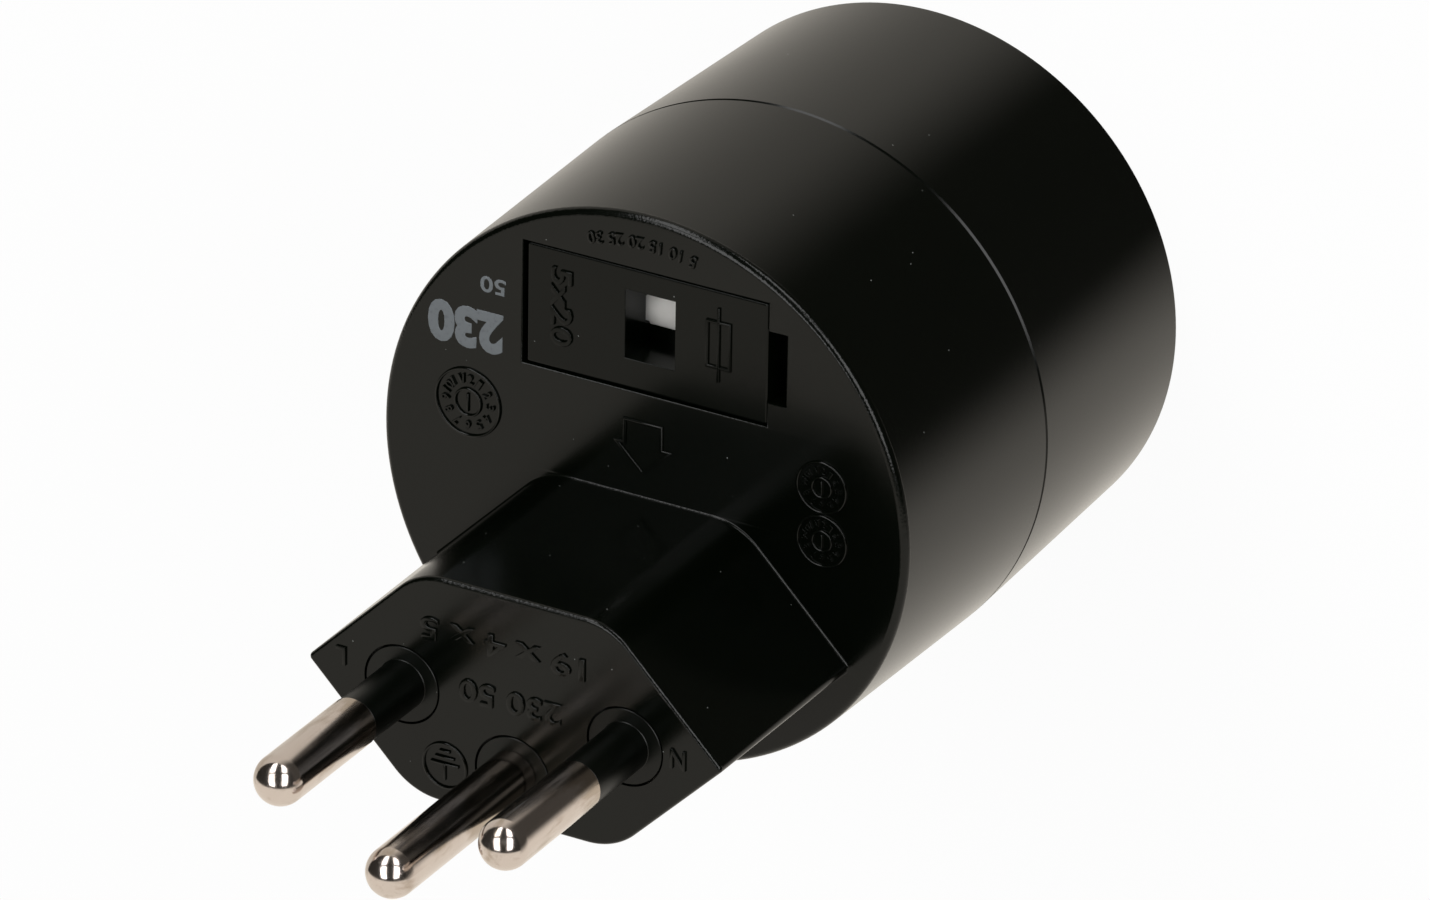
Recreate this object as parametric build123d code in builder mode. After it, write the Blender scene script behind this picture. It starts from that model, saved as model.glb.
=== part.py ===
"""Earthed travel adapter: a round two-part housing, a deep round socket at the back, a flat six-sided
plug with three round pins at the front, and a small fuse in a holder that pulls out of the front plate.

Sizes are in millimetres. The adapter stands on its socket rim: Z = 0 is the rim and +Z runs along the
housing's axis to the tips of the pins. +X points from the line pin to the neutral pin, and +Y points
from the plug to the fuse holder.
"""
import os
from math import sqrt

from build123d import *

os.makedirs("parts", exist_ok=True)

# Housing: two shells that meet at a seam, each a little narrower away from it
housing_length = 43.4
seam_height = 22.3
rim_wall = 2.3
rim_draft = 0.75
plate_draft = 0.4
shell_wall = 2.1
plate_thickness = 2.2
plate_rounding = 0.6
rim_chamfer = 0.2
seam_chamfer = 0.16
spigot_height = 2.6
spigot_thickness = 1.3
spigot_gap = 0.1
overlap = 0.05

# Plug: six sides, with flanks at 45 degrees, that stands on the plate below the axis
plug_height = 18.9
plug_half_width = 17.7
plug_half_height = 9.3
plug_centre = -10.1
plug_side_drop = 0.2
plug_corner = 5.5
plug_side_corner = 0.4
plug_draft = 0.12
plug_wall = 1.8
nose_thickness = 2.2
nose_edge = 0.35
foot_chamfer = 0.2

# Pins: two live pins with a plastic sleeve near the plug, and a bare earth pin
pin_spacing = 19.0
pin_line = -10.45
earth_offset = 5.0
pin_length = 19.3
pin_radius = 2.0
pin_core_radius = 1.5
earth_neck_radius = 1.8
pin_head_radius = 2.6
pin_head_height = 1.2
sleeve_length = 7.0
sleeve_radius = 1.97
sleeve_draft = 0.03
bush_radius = 3.15
bush_neck_radius = 2.65
bush_depth = 1.2
bush_gap = 0.08
rivet_radius = 1.75
rivet_height = 0.7
retainer_thickness = 2.5
retainer_gap = 0.1
tail_gap = 0.05

# Socket at the back
well_radius = 19.75
well_depth = 17.5
well_chamfer = 0.5
floor_thickness = 2.3
contact_spacing = 19.0
socket_hole_radius = 2.75
key_width = 4.6
key_depth = 2.0
key_start = 3.0
key_toe = 0.2
key_root = 0.4

# Socket contacts: slotted tubes that grip round pins
contact_bore = 2.3
contact_wall = 0.5
contact_flare = 0.55
contact_flare_height = 2.0
contact_rise = 1.35
contact_lift = 0.6
contact_slot = 0.8
contact_slot_height = 10.5

# Insulating carrier behind the socket floor
carrier_thickness = 2.2
carrier_gap = 0.2
tower_inside = 7.4
tower_wall = 1.0
tower_corner = 1.2
tower_height = 10.0

# Fuse, 5 mm across and 20 mm long, and its holder
fuse_length = 20.0
fuse_tube_radius = 2.4
fuse_tube_bore = 1.6
fuse_cap_radius = 2.6
fuse_cap_length = 5.0
fuse_cap_end = 0.3
fuse_cap_chamfer = 0.2
fuse_gap = 0.15
fuse_centre = 13.0
holder_length = 20.5
holder_width = 9.9
holder_depth = 3.1
holder_centre_x = 0.15
holder_centre_y = 12.9
holder_gap = 0.12
holder_end_gap = 0.32
holder_sink = 0.15
holder_wall = 1.1
holder_roof = 1.4
holder_edge = 0.15
window_length = 4.25
window_width = 5.65
window_x = 0.4
window_y = 13.2
window_sill = 0.8
window_wall = 0.9
cheek_length = 9.0
cheek_gap = 0.05
cheek_wall = 0.9
cheek_drop = 1.3
cheek_lip = 0.25
notch_centre = 12.75
notch_length = 1.6
notch_width = 5.9
notch_depth = 3.4
notch_wall = 0.9
chamber_wall = 1.2
chamber_depth = 10.2

# Metal strips
strip = 0.6
strip_height = 3.5
strip_bend = 1.6
strip_gap = 0.3
strip_crossing = 1.5
strip_side_gap = 1.5
strip_jog_start = 7.0
strip_jog_end = 2.5
foot_width = 4.0
clip_metal = 0.5
clip_gap = 0.05
clip_width = 4.5
clip_end = 0.2
clip_height = 4.9
clip_flare = 0.45
clip_bend = 0.3
clip_tail = 5.2
earth_metal = 0.8
earth_width = 6.0
earth_bend = 1.0
earth_arm_gap = 0.55
earth_bulge = 1.7
earth_bulge_flat = 2.5
earth_bulge_run = 4.5
earth_tip = 4.0
earth_tip_lean = 0.2
earth_slot_gap = 0.25
earth_channel_gap = 0.1

# Screw that holds the shells together
screw_radius = 1.45
screw_head_radius = 2.8
screw_length = 16.0
screw_point = 1.0
screw_point_inset = 0.6
screw_clearance = 0.35
screw_recess = 0.2
screw_seat_gap = 0.1
pilot_gap = 0.05
driver_length = 3.4
driver_width = 0.7
driver_depth = 0.7
boss_radius = 3.2

# Levels along the axis
plate_back = housing_length - plate_thickness
nose = housing_length + plug_height
nose_back = nose - nose_thickness
pin_tip = nose + pin_length
head_bottom = nose_back - pin_head_height
retainer_bottom = head_bottom - retainer_thickness
strip_foot_bottom = retainer_bottom - strip
floor_back = well_depth + floor_thickness
carrier_top = floor_back + carrier_thickness
holder_top = housing_length - holder_sink
holder_bottom = holder_top - holder_depth
fuse_height = holder_bottom - fuse_gap - fuse_cap_radius
chamber_bottom = housing_length - chamber_depth
clip_base_top = fuse_height - fuse_cap_radius - clip_gap
clip_base = clip_base_top - clip_metal
upper_strip = clip_base - clip_tail
lower_strip = upper_strip - strip_height - strip_crossing
contact_bottom = floor_back + contact_lift
contact_length = upper_strip + strip_height + contact_rise - contact_bottom

# Radii and places that follow from the sizes above
rim_radius = well_radius + rim_wall
seam_radius = rim_radius + rim_draft
plate_radius = seam_radius - plate_draft
line_x = -pin_spacing / 2
neutral_x = pin_spacing / 2
earth_pin_y = pin_line - earth_offset
shell_inside_seam = seam_radius - shell_wall
shell_inside_plate = plate_radius - shell_wall
spigot_radius = shell_inside_seam - spigot_gap
spigot_inside = spigot_radius - spigot_thickness
contact_radius = contact_bore + contact_wall
contact_x = contact_spacing / 2
tower_outside = tower_inside + 2 * tower_wall
pocket_length = holder_length + holder_gap + holder_end_gap
pocket_width = holder_width + 2 * holder_gap
pocket_right = holder_centre_x + holder_length / 2 + holder_gap
pocket_centre_x = pocket_right - pocket_length / 2
earth_arm_y = well_radius - earth_arm_gap - earth_metal / 2
clip_centre_x = fuse_length / 2 - clip_end - clip_width / 2
clip_tail_x = fuse_length / 2 - clip_end - clip_metal
strip_side_x = contact_x + tower_outside / 2 + strip_side_gap
riser_y = pin_line + foot_width / 2 + strip / 2
earth_riser_y = earth_pin_y + foot_width / 2 + strip / 2


def plug_outline(inset):
    """Points of the six-sided outline, set in by a wall, from the right corner anticlockwise."""
    half = plug_half_width - inset * sqrt(2)
    rise = plug_half_height - inset
    side = -plug_side_drop
    top = half - rise + side
    bottom = half - rise - side
    corners = [(half, side), (top, rise), (-top, rise), (-half, side), (-bottom, -rise), (bottom, -rise)]
    return [(x, y + plug_centre) for x, y in corners]


def plug_section(height, inset):
    """The plug's section at one height, with its rounded corners."""
    with BuildSketch(Plane.XY.offset(height)) as section:
        with BuildLine():
            Polyline(*plug_outline(inset), close=True)
        make_face()
        across = section.vertices().sort_by(Axis.X)
        fillet([across[0], across[-1]], plug_side_corner)
        wide = section.vertices().filter_by(lambda v: abs(v.X) < plug_half_width - plug_half_height + 1)
        fillet(wide, plug_corner - max(inset, 0))
    return section.sketch


# Front shell with its plate, the plug, the fuse chamber and the screw boss
with BuildPart() as front_housing:
    with BuildSketch(Plane.XZ) as shell_profile:
        with BuildLine():
            Polyline(
                (0, plate_back),
                (shell_inside_plate, plate_back),
                (shell_inside_seam, seam_height),
                (seam_radius, seam_height),
                (plate_radius, housing_length),
                (0, housing_length),
                close=True,
            )
        make_face()
        rows = shell_profile.vertices().group_by(Axis.Y)
        fillet(rows[-1].sort_by(Axis.X)[-1], plate_rounding)
        chamfer(rows[0].sort_by(Axis.X)[-1], seam_chamfer)
    revolve(axis=Axis.Z)

    # The plug widens a little towards its foot
    add(
        loft(
            [plug_section(nose, 0), plug_section(housing_length - plate_thickness / 2, -plug_draft)],
            ruled=True,
            mode=Mode.PRIVATE,
        )
    )
    nose_face = front_housing.faces().sort_by(Axis.Z)[-1]
    fillet(nose_face.outer_wire().edges(), nose_edge)
    plate_edges = front_housing.edges().filter_by_position(
        Axis.Z, housing_length - overlap, housing_length + overlap
    )
    chamfer(plate_edges.filter_by(lambda edge: edge.length < 2 * plug_half_width), foot_chamfer)

    # The hollow plug opens into the shell
    hollow = plug_section(plate_back - overlap, plug_wall)
    extrude(hollow, amount=nose_back - plate_back + overlap, mode=Mode.SUBTRACT)

    # Walls round the fuse, inside the shell
    with BuildSketch(Plane.XY.offset(chamber_bottom)) as chamber:
        with Locations((pocket_centre_x, holder_centre_y)):
            Rectangle(pocket_length + 2 * chamber_wall, pocket_width + 2 * chamber_wall)
        Circle(plate_radius - shell_wall / 2, mode=Mode.INTERSECT)
    extrude(amount=plate_back - chamber_bottom)
    with BuildSketch(Plane.XY.offset(housing_length - notch_depth - notch_wall)) as notch_walls:
        with Locations((pocket_right + notch_length / 2 + notch_wall / 2, notch_centre)):
            Rectangle(notch_length + notch_wall, notch_width + 2 * notch_wall)
        Circle(plate_radius - shell_wall / 2, mode=Mode.INTERSECT)
    extrude(amount=notch_depth + notch_wall - plate_thickness)
    with BuildSketch(Plane.XY.offset(housing_length)) as pocket:
        with Locations((pocket_centre_x, holder_centre_y)):
            Rectangle(pocket_length, pocket_width)
    extrude(amount=-chamber_depth, mode=Mode.SUBTRACT)

    # Notch beside the holder, where a screwdriver lifts it
    with BuildSketch(Plane.XY.offset(housing_length)) as notch:
        with Locations((pocket_right + notch_length / 2, notch_centre)):
            Rectangle(notch_length, notch_width)
    extrude(amount=-notch_depth, mode=Mode.SUBTRACT)

    # Boss for the screw, down to the carrier
    with BuildSketch(Plane.XY.offset(carrier_top)) as boss:
        Circle(boss_radius)
    extrude(amount=plate_back + plate_thickness / 2 - carrier_top)
    with Locations(Location((0, 0, carrier_top))):
        Cylinder(
            screw_radius + pilot_gap,
            screw_length,
            align=(Align.CENTER, Align.CENTER, Align.MIN),
            mode=Mode.SUBTRACT,
        )

    # Stepped holes in the nose for the pins and their bushes
    for x, y in ((line_x, pin_line), (neutral_x, pin_line), (0, earth_pin_y)):
        with Locations(Location((x, y, nose))):
            CounterBoreHole(
                radius=bush_neck_radius + bush_gap,
                counter_bore_radius=bush_radius + bush_gap,
                counter_bore_depth=bush_depth,
                depth=nose_thickness,
            )
front_housing.part.label = "front_housing"
export_step(front_housing.part, "parts/front_housing.step")

# Rear shell with the socket well
with BuildPart() as rear_housing:
    with BuildSketch(Plane.XZ) as socket_profile:
        with BuildLine():
            Polyline(
                (well_radius, 0),
                (rim_radius, 0),
                (seam_radius, seam_height),
                (spigot_radius, seam_height),
                (spigot_radius, seam_height + spigot_height),
                (spigot_inside, seam_height + spigot_height),
                (spigot_inside, floor_back),
                (0, floor_back),
                (0, well_depth),
                (well_radius, well_depth),
                close=True,
            )
        make_face()
        rim = socket_profile.vertices().group_by(Axis.Y)[0].sort_by(Axis.X)
        chamfer(rim[-1], rim_chamfer)
        chamfer(rim[0], well_chamfer)
        chamfer(socket_profile.vertices().sort_by(Axis.X)[-1], seam_chamfer)
    revolve(axis=Axis.Z)

    # Guide keys at both sides of the well, with sloped ends
    with BuildSketch(Plane.XZ.offset(-key_width / 2)) as key_profile:
        for side in (-1, 1):
            with BuildLine():
                Polyline(
                    (side * (well_radius + key_root), key_start),
                    (side * (well_radius - key_toe), key_start),
                    (side * (well_radius - key_depth), key_start + key_depth),
                    (side * (well_radius - key_depth), well_depth + overlap),
                    (side * (well_radius + key_root), well_depth + overlap),
                    close=True,
                )
            make_face()
    extrude(amount=key_width)

    # Holes for the two live pins, and slots for the arms of the earth bracket
    with BuildSketch(Plane.XY.offset(well_depth)) as floor_holes:
        with GridLocations(contact_spacing, 0, 2, 1):
            Circle(socket_hole_radius)
        for side in (-1, 1):
            with Locations((0, side * (earth_arm_y - earth_bend / 2))):
                Rectangle(earth_width + 2 * earth_slot_gap, earth_metal + earth_bend + 2 * earth_slot_gap)
    extrude(amount=floor_thickness, mode=Mode.SUBTRACT)

    # Seat for the countersunk screw
    with Locations(Location((0, 0, well_depth), (180, 0, 0))):
        CounterSinkHole(
            radius=screw_radius + screw_clearance,
            counter_sink_radius=screw_head_radius + screw_recess + screw_seat_gap,
            depth=floor_thickness,
            counter_sink_angle=90,
        )
rear_housing.part.label = "rear_housing"
export_step(rear_housing.part, "parts/rear_housing.step")

# Carrier: a plate behind the socket floor, with a tower round each contact and a stand under each clip
with BuildPart() as contact_carrier:
    with BuildSketch(Plane.XY.offset(floor_back)) as carrier_plate:
        Circle(spigot_inside - carrier_gap)
    extrude(amount=carrier_thickness)
    with BuildSketch(Plane.XY.offset(carrier_top)) as towers:
        with GridLocations(contact_spacing, 0, 2, 1):
            RectangleRounded(tower_outside, tower_outside, tower_corner)
    extrude(amount=tower_height)
    with BuildSketch(Plane.XY.offset(carrier_top)) as stands:
        for side in (-1, 1):
            with Locations((side * (clip_tail_x - (clip_width - clip_metal) / 2), fuse_centre)):
                Rectangle(clip_width - clip_metal, 2 * (fuse_cap_radius + clip_gap))
    extrude(amount=clip_base - carrier_top)

    # Room for the contacts, for the strips that reach them and for the earth parts
    with BuildSketch(Plane.XY.offset(carrier_top + tower_height)) as tower_insides:
        with GridLocations(contact_spacing, 0, 2, 1):
            Rectangle(tower_inside, tower_inside)
    extrude(amount=-tower_height, mode=Mode.SUBTRACT)
    with BuildSketch(Plane.XY.offset(floor_back)) as carrier_holes:
        with GridLocations(contact_spacing, 0, 2, 1):
            Circle(contact_radius + contact_flare + carrier_gap)
        with Locations((0, earth_riser_y)):
            Rectangle(foot_width + 2 * strip_gap, strip + 2 * strip_gap)
        Circle(screw_radius + screw_clearance)
    extrude(amount=carrier_thickness, mode=Mode.SUBTRACT)
    with BuildSketch(Plane.XY.offset(floor_back)) as earth_channel:
        Rectangle(earth_width + 2 * earth_slot_gap, 2 * spigot_radius)
    extrude(amount=earth_metal + earth_channel_gap, mode=Mode.SUBTRACT)
    with BuildSketch(Plane.XY.offset(carrier_top + tower_height)) as strip_slots:
        with Locations((clip_tail_x + clip_metal + strip / 2, tower_inside / 2)):
            Rectangle(strip + 2 * strip_gap, 2 * (tower_wall + strip_gap))
        with Locations((-contact_x, -tower_inside / 2)):
            Rectangle(strip + 2 * strip_gap, 2 * (tower_wall + strip_gap))
    extrude(amount=-tower_height, mode=Mode.SUBTRACT)
contact_carrier.part.label = "contact_carrier"
export_step(contact_carrier.part, "parts/contact_carrier.step")

# Live pins: a bare round end, a thinner core inside the sleeve, a head behind the nose and a riveted tail
for name, x in (("line_pin", line_x), ("neutral_pin", neutral_x)):
    with BuildPart() as live_pin:
        with BuildSketch(Plane.XZ) as pin_profile:
            with BuildLine():
                Polyline(
                    (0, pin_tip - pin_radius),
                    (0, strip_foot_bottom - rivet_height),
                    (rivet_radius, strip_foot_bottom - rivet_height),
                    (rivet_radius, strip_foot_bottom),
                    (pin_core_radius, strip_foot_bottom),
                    (pin_core_radius, head_bottom),
                    (pin_head_radius, head_bottom),
                    (pin_head_radius, nose_back),
                    (pin_core_radius, nose_back),
                    (pin_core_radius, nose + sleeve_length),
                    (pin_radius, nose + sleeve_length),
                    (pin_radius, pin_tip - pin_radius),
                )
                RadiusArc((pin_radius, pin_tip - pin_radius), (0, pin_tip), -pin_radius)
                Line((0, pin_tip), (0, pin_tip - pin_radius))
            make_face()
        revolve(axis=Axis.Z)
    pin = live_pin.part.moved(Location((x, pin_line, 0)))
    pin.label = name
    export_step(pin, f"parts/{name}.step")

# Sleeves: a flush bush in the nose and a thin tube round the core of each live pin
for name, x in (("line_pin_sleeve", line_x), ("neutral_pin_sleeve", neutral_x)):
    with BuildPart() as pin_sleeve:
        with BuildSketch(Plane.XZ) as sleeve_profile:
            with BuildLine():
                Polyline(
                    (pin_core_radius, nose_back),
                    (bush_neck_radius, nose_back),
                    (bush_neck_radius, nose - bush_depth),
                    (bush_radius, nose - bush_depth),
                    (bush_radius, nose),
                    (sleeve_radius, nose),
                    (sleeve_radius - sleeve_draft, nose + sleeve_length),
                    (pin_core_radius, nose + sleeve_length),
                    close=True,
                )
            make_face()
        revolve(axis=Axis.Z)
    sleeve = pin_sleeve.part.moved(Location((x, pin_line, 0)))
    sleeve.label = name
    export_step(sleeve, f"parts/{name}.step")

# Earth pin: bare from the nose to its tip
with BuildPart() as earth_pin:
    with BuildSketch(Plane.XZ) as earth_profile:
        with BuildLine():
            Polyline(
                (0, pin_tip - pin_radius),
                (0, strip_foot_bottom - rivet_height),
                (rivet_radius, strip_foot_bottom - rivet_height),
                (rivet_radius, strip_foot_bottom),
                (pin_core_radius, strip_foot_bottom),
                (pin_core_radius, nose_back),
                (earth_neck_radius, nose_back),
                (earth_neck_radius, nose),
                (pin_radius, nose),
                (pin_radius, pin_tip - pin_radius),
            )
            RadiusArc((pin_radius, pin_tip - pin_radius), (0, pin_tip), -pin_radius)
            Line((0, pin_tip), (0, pin_tip - pin_radius))
        make_face()
    revolve(axis=Axis.Z)
earth_pin.part = earth_pin.part.moved(Location((0, earth_pin_y, 0)))
earth_pin.part.label = "earth_pin"
export_step(earth_pin.part, "parts/earth_pin.step")

with BuildPart() as earth_pin_bush:
    with BuildSketch(Plane.XY.offset(nose_back)) as bush_neck:
        with Locations((0, earth_pin_y)):
            Circle(bush_neck_radius)
    extrude(amount=nose_thickness)
    with BuildSketch(Plane.XY.offset(nose - bush_depth)) as bush_disc:
        with Locations((0, earth_pin_y)):
            Circle(bush_radius)
    extrude(amount=bush_depth)
    with BuildSketch(Plane.XY.offset(nose_back)) as bush_bore:
        with Locations((0, earth_pin_y)):
            Circle(earth_neck_radius)
    extrude(amount=nose_thickness, mode=Mode.SUBTRACT)
earth_pin_bush.part.label = "earth_pin_bush"
export_step(earth_pin_bush.part, "parts/earth_pin_bush.step")

# Retainer: fills the plug behind the nose and keeps the pins straight
with BuildPart() as pin_retainer:
    extrude(plug_section(retainer_bottom, plug_wall + retainer_gap), amount=retainer_thickness)
    with BuildSketch(Plane.XY.offset(retainer_bottom)) as tail_holes:
        with Locations((line_x, pin_line), (neutral_x, pin_line), (0, earth_pin_y)):
            Circle(pin_core_radius + tail_gap)
    extrude(amount=retainer_thickness, mode=Mode.SUBTRACT)
pin_retainer.part.label = "pin_retainer"
export_step(pin_retainer.part, "parts/pin_retainer.step")

# Fuse holder: the cover with its window, hollow below, and two cheeks that hold the fuse
with BuildPart() as fuse_holder:
    with BuildSketch(Plane.XY.offset(holder_bottom)) as cover:
        with Locations((holder_centre_x, holder_centre_y)):
            Rectangle(holder_length, holder_width)
    extrude(amount=holder_depth)
    fillet(fuse_holder.faces().sort_by(Axis.Z)[-1].edges(), holder_edge)
    with BuildSketch(Plane.XY.offset(holder_bottom)) as underside:
        with Locations((holder_centre_x, holder_centre_y)):
            Rectangle(holder_length - 2 * holder_wall, holder_width - 2 * holder_wall)
        with Locations((window_x, window_y)):
            Rectangle(window_length + 2 * window_wall, holder_width, mode=Mode.SUBTRACT)
    extrude(amount=holder_depth - holder_roof, mode=Mode.SUBTRACT)

    # Cheeks at both sides of the fuse tube
    with BuildSketch(Plane.YZ.offset(-cheek_length / 2)) as cheeks:
        with Locations((fuse_centre, fuse_height)):
            Rectangle(
                2 * (fuse_tube_radius + cheek_gap + cheek_wall),
                holder_bottom + holder_depth - holder_roof - fuse_height,
                align=(Align.CENTER, Align.MIN),
            )
            Rectangle(
                2 * (fuse_tube_radius + cheek_gap + cheek_wall),
                cheek_drop,
                align=(Align.CENTER, Align.MAX),
            )
            Circle(fuse_tube_radius + cheek_gap, mode=Mode.SUBTRACT)
            Rectangle(
                2 * (fuse_tube_radius + cheek_gap - cheek_lip),
                2 * cheek_drop,
                align=(Align.CENTER, Align.MAX),
                mode=Mode.SUBTRACT,
            )
    extrude(amount=cheek_length)
    with BuildSketch(Plane.XY.offset(holder_top)) as window:
        with Locations((window_x, window_y)):
            Rectangle(window_length, window_width)
    extrude(amount=-holder_depth - window_sill, mode=Mode.SUBTRACT)
fuse_holder.part.label = "fuse_holder"
export_step(fuse_holder.part, "parts/fuse_holder.step")

# Fuse: an open ceramic tube with a metal cap at each end
with BuildPart() as fuse_tube:
    with BuildSketch(Plane.YZ.offset(-fuse_length / 2 + fuse_cap_end)) as tube_section:
        with Locations((fuse_centre, fuse_height)):
            Circle(fuse_tube_radius)
            Circle(fuse_tube_bore, mode=Mode.SUBTRACT)
    extrude(amount=fuse_length - 2 * fuse_cap_end)
fuse_tube.part.label = "fuse_tube"
export_step(fuse_tube.part, "parts/fuse_tube.step")

for name, side in (("line_fuse_cap", -1), ("load_fuse_cap", 1)):
    with BuildPart() as fuse_cap:
        with BuildSketch(Plane.YZ.offset(side * fuse_length / 2)) as cap_section:
            with Locations((fuse_centre, fuse_height)):
                Circle(fuse_cap_radius)
        extrude(amount=-side * fuse_cap_length)
        outer_edge = fuse_cap.edges().filter_by(GeomType.CIRCLE).sort_by(Axis.X)[0 if side < 0 else -1]
        chamfer(outer_edge, fuse_cap_chamfer)
        with BuildSketch(Plane.YZ.offset(side * (fuse_length / 2 - fuse_cap_end))) as cap_bore:
            with Locations((fuse_centre, fuse_height)):
                Circle(fuse_tube_radius)
        extrude(amount=-side * fuse_cap_length, mode=Mode.SUBTRACT)
    fuse_cap.part.label = name
    export_step(fuse_cap.part, f"parts/{name}.step")

# Fuse clips: a U of spring metal, open towards the holder, with a tail down its stand
for name, side in (("line_fuse_clip", -1), ("load_fuse_clip", 1)):
    with BuildPart() as fuse_clip:
        with BuildSketch(Plane.YZ.offset(side * clip_centre_x - clip_width / 2)) as clip_section:
            with BuildLine() as clip_path:
                reach = fuse_cap_radius + clip_gap + clip_metal / 2
                low = clip_base + clip_metal / 2
                high = clip_base + clip_height
                FilletPolyline(
                    (fuse_centre - reach - clip_flare, high),
                    (fuse_centre - reach, high - 2 * clip_flare),
                    (fuse_centre - reach, low),
                    (fuse_centre + reach, low),
                    (fuse_centre + reach, high - 2 * clip_flare),
                    (fuse_centre + reach + clip_flare, high),
                    radius=clip_bend,
                )
            trace(line_width=clip_metal)
        extrude(amount=clip_width)
        with BuildSketch(Plane.XY.offset(clip_base + clip_metal / 2)) as clip_tail_section:
            with Locations((side * (clip_tail_x + clip_metal / 2), fuse_centre)):
                Rectangle(clip_metal, 2 * fuse_cap_radius)
        extrude(amount=-clip_tail - clip_metal / 2)
    fuse_clip.part.label = name
    export_step(fuse_clip.part, f"parts/{name}.step")


def pin_foot(x, y, riser_bottom):
    """A riveted foot under a pin and the riser that runs down from it."""
    with BuildPart() as foot:
        with BuildSketch(Plane.XY.offset(strip_foot_bottom)) as foot_plate:
            with Locations((x, y + strip / 2)):
                Rectangle(foot_width, foot_width + strip)
            with Locations((x, y)):
                Circle(pin_core_radius, mode=Mode.SUBTRACT)
        extrude(amount=strip)
        with BuildSketch(Plane.XY.offset(strip_foot_bottom)) as riser:
            with Locations((x, y + foot_width / 2 + strip / 2)):
                Rectangle(foot_width, strip)
        extrude(amount=riser_bottom - strip_foot_bottom)
    return foot.part


# Strips that stand on edge between the pins, the fuse clips and the contacts
with BuildPart() as line_strip:
    add(pin_foot(line_x, pin_line, upper_strip))
    with BuildSketch(Plane.XY.offset(upper_strip)) as line_route:
        with BuildLine():
            FilletPolyline(
                (line_x + foot_width / 2, riser_y),
                (-strip_side_x, riser_y),
                (-strip_side_x, fuse_centre - strip_jog_start),
                (-clip_tail_x - clip_metal - strip / 2, fuse_centre - strip_jog_end),
                (-clip_tail_x - clip_metal - strip / 2, fuse_centre + fuse_cap_radius),
                radius=strip_bend,
            )
        trace(line_width=strip)
    extrude(amount=strip_height)
line_strip.part.label = "line_strip"
export_step(line_strip.part, "parts/line_strip.step")

with BuildPart() as load_strip:
    with BuildSketch(Plane.XY.offset(upper_strip)) as load_route:
        with Locations((clip_tail_x + clip_metal + strip / 2, contact_radius - overlap)):
            Rectangle(
                strip,
                fuse_centre + fuse_cap_radius - contact_radius + overlap,
                align=(Align.CENTER, Align.MIN),
            )
        with Locations((contact_x, 0)):
            Circle(contact_radius, mode=Mode.SUBTRACT)
    extrude(amount=strip_height)
load_strip.part.label = "load_strip"
export_step(load_strip.part, "parts/load_strip.step")

with BuildPart() as neutral_strip:
    add(pin_foot(neutral_x, pin_line, lower_strip))
    with BuildSketch(Plane.XY.offset(lower_strip)) as neutral_route:
        with BuildLine():
            FilletPolyline(
                (neutral_x + foot_width / 2, riser_y),
                (-contact_x, riser_y),
                (-contact_x, -contact_radius + overlap),
                radius=strip_bend,
            )
        trace(line_width=strip)
        with Locations((-contact_x, 0)):
            Circle(contact_radius, mode=Mode.SUBTRACT)
    extrude(amount=strip_height)
neutral_strip.part.label = "neutral_strip"
export_step(neutral_strip.part, "parts/neutral_strip.step")

with BuildPart() as earth_strip:
    add(pin_foot(0, earth_pin_y, floor_back + earth_metal))
earth_strip.part.label = "earth_strip"
export_step(earth_strip.part, "parts/earth_strip.step")

# Earth bracket: one bent spring strip that lies across the back of the floor, with an arm down each side
with BuildPart() as earth_bracket:
    with BuildSketch(Plane.YZ.offset(-earth_width / 2)) as bracket_section:
        with BuildLine():
            middle = (earth_tip + well_depth) / 2
            arm = [
                (earth_arm_y - earth_tip_lean, earth_tip),
                (earth_arm_y - earth_bulge, middle - earth_bulge_flat),
                (earth_arm_y - earth_bulge, middle),
                (earth_arm_y, middle + earth_bulge_run),
                (earth_arm_y, floor_back + earth_metal / 2),
            ]
            FilletPolyline(*arm, *[(-y, z) for y, z in reversed(arm)], radius=earth_bend)
        trace(line_width=earth_metal)
    extrude(amount=earth_width)
    with BuildSketch(Plane.XY.offset(floor_back)) as screw_passage:
        Circle(screw_radius + screw_clearance)
    extrude(amount=earth_metal, mode=Mode.SUBTRACT)
earth_bracket.part.label = "earth_bracket"
export_step(earth_bracket.part, "parts/earth_bracket.step")

# Contacts: a slotted tube with a flared mouth behind each socket hole
for name, x in (("line_contact", contact_x), ("neutral_contact", -contact_x)):
    with BuildPart() as contact:
        with BuildSketch(Plane.XZ) as contact_profile:
            with BuildLine():
                Polyline(
                    (contact_bore + contact_flare, 0),
                    (contact_radius + contact_flare, 0),
                    (contact_radius, contact_flare_height),
                    (contact_radius, contact_length),
                    (contact_bore, contact_length),
                    (contact_bore, contact_flare_height),
                    close=True,
                )
            make_face()
        revolve(axis=Axis.Z)
        with BuildSketch(Plane.XY) as contact_slots:
            for turn in (45, 135):
                with Locations(Location((0, 0, 0), turn)):
                    Rectangle(2 * contact_radius + 2, contact_slot)
        extrude(amount=contact_slot_height, mode=Mode.SUBTRACT)
    placed_contact = contact.part.moved(Location((x, 0, contact_bottom)))
    placed_contact.label = name
    export_step(placed_contact, f"parts/{name}.step")

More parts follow.
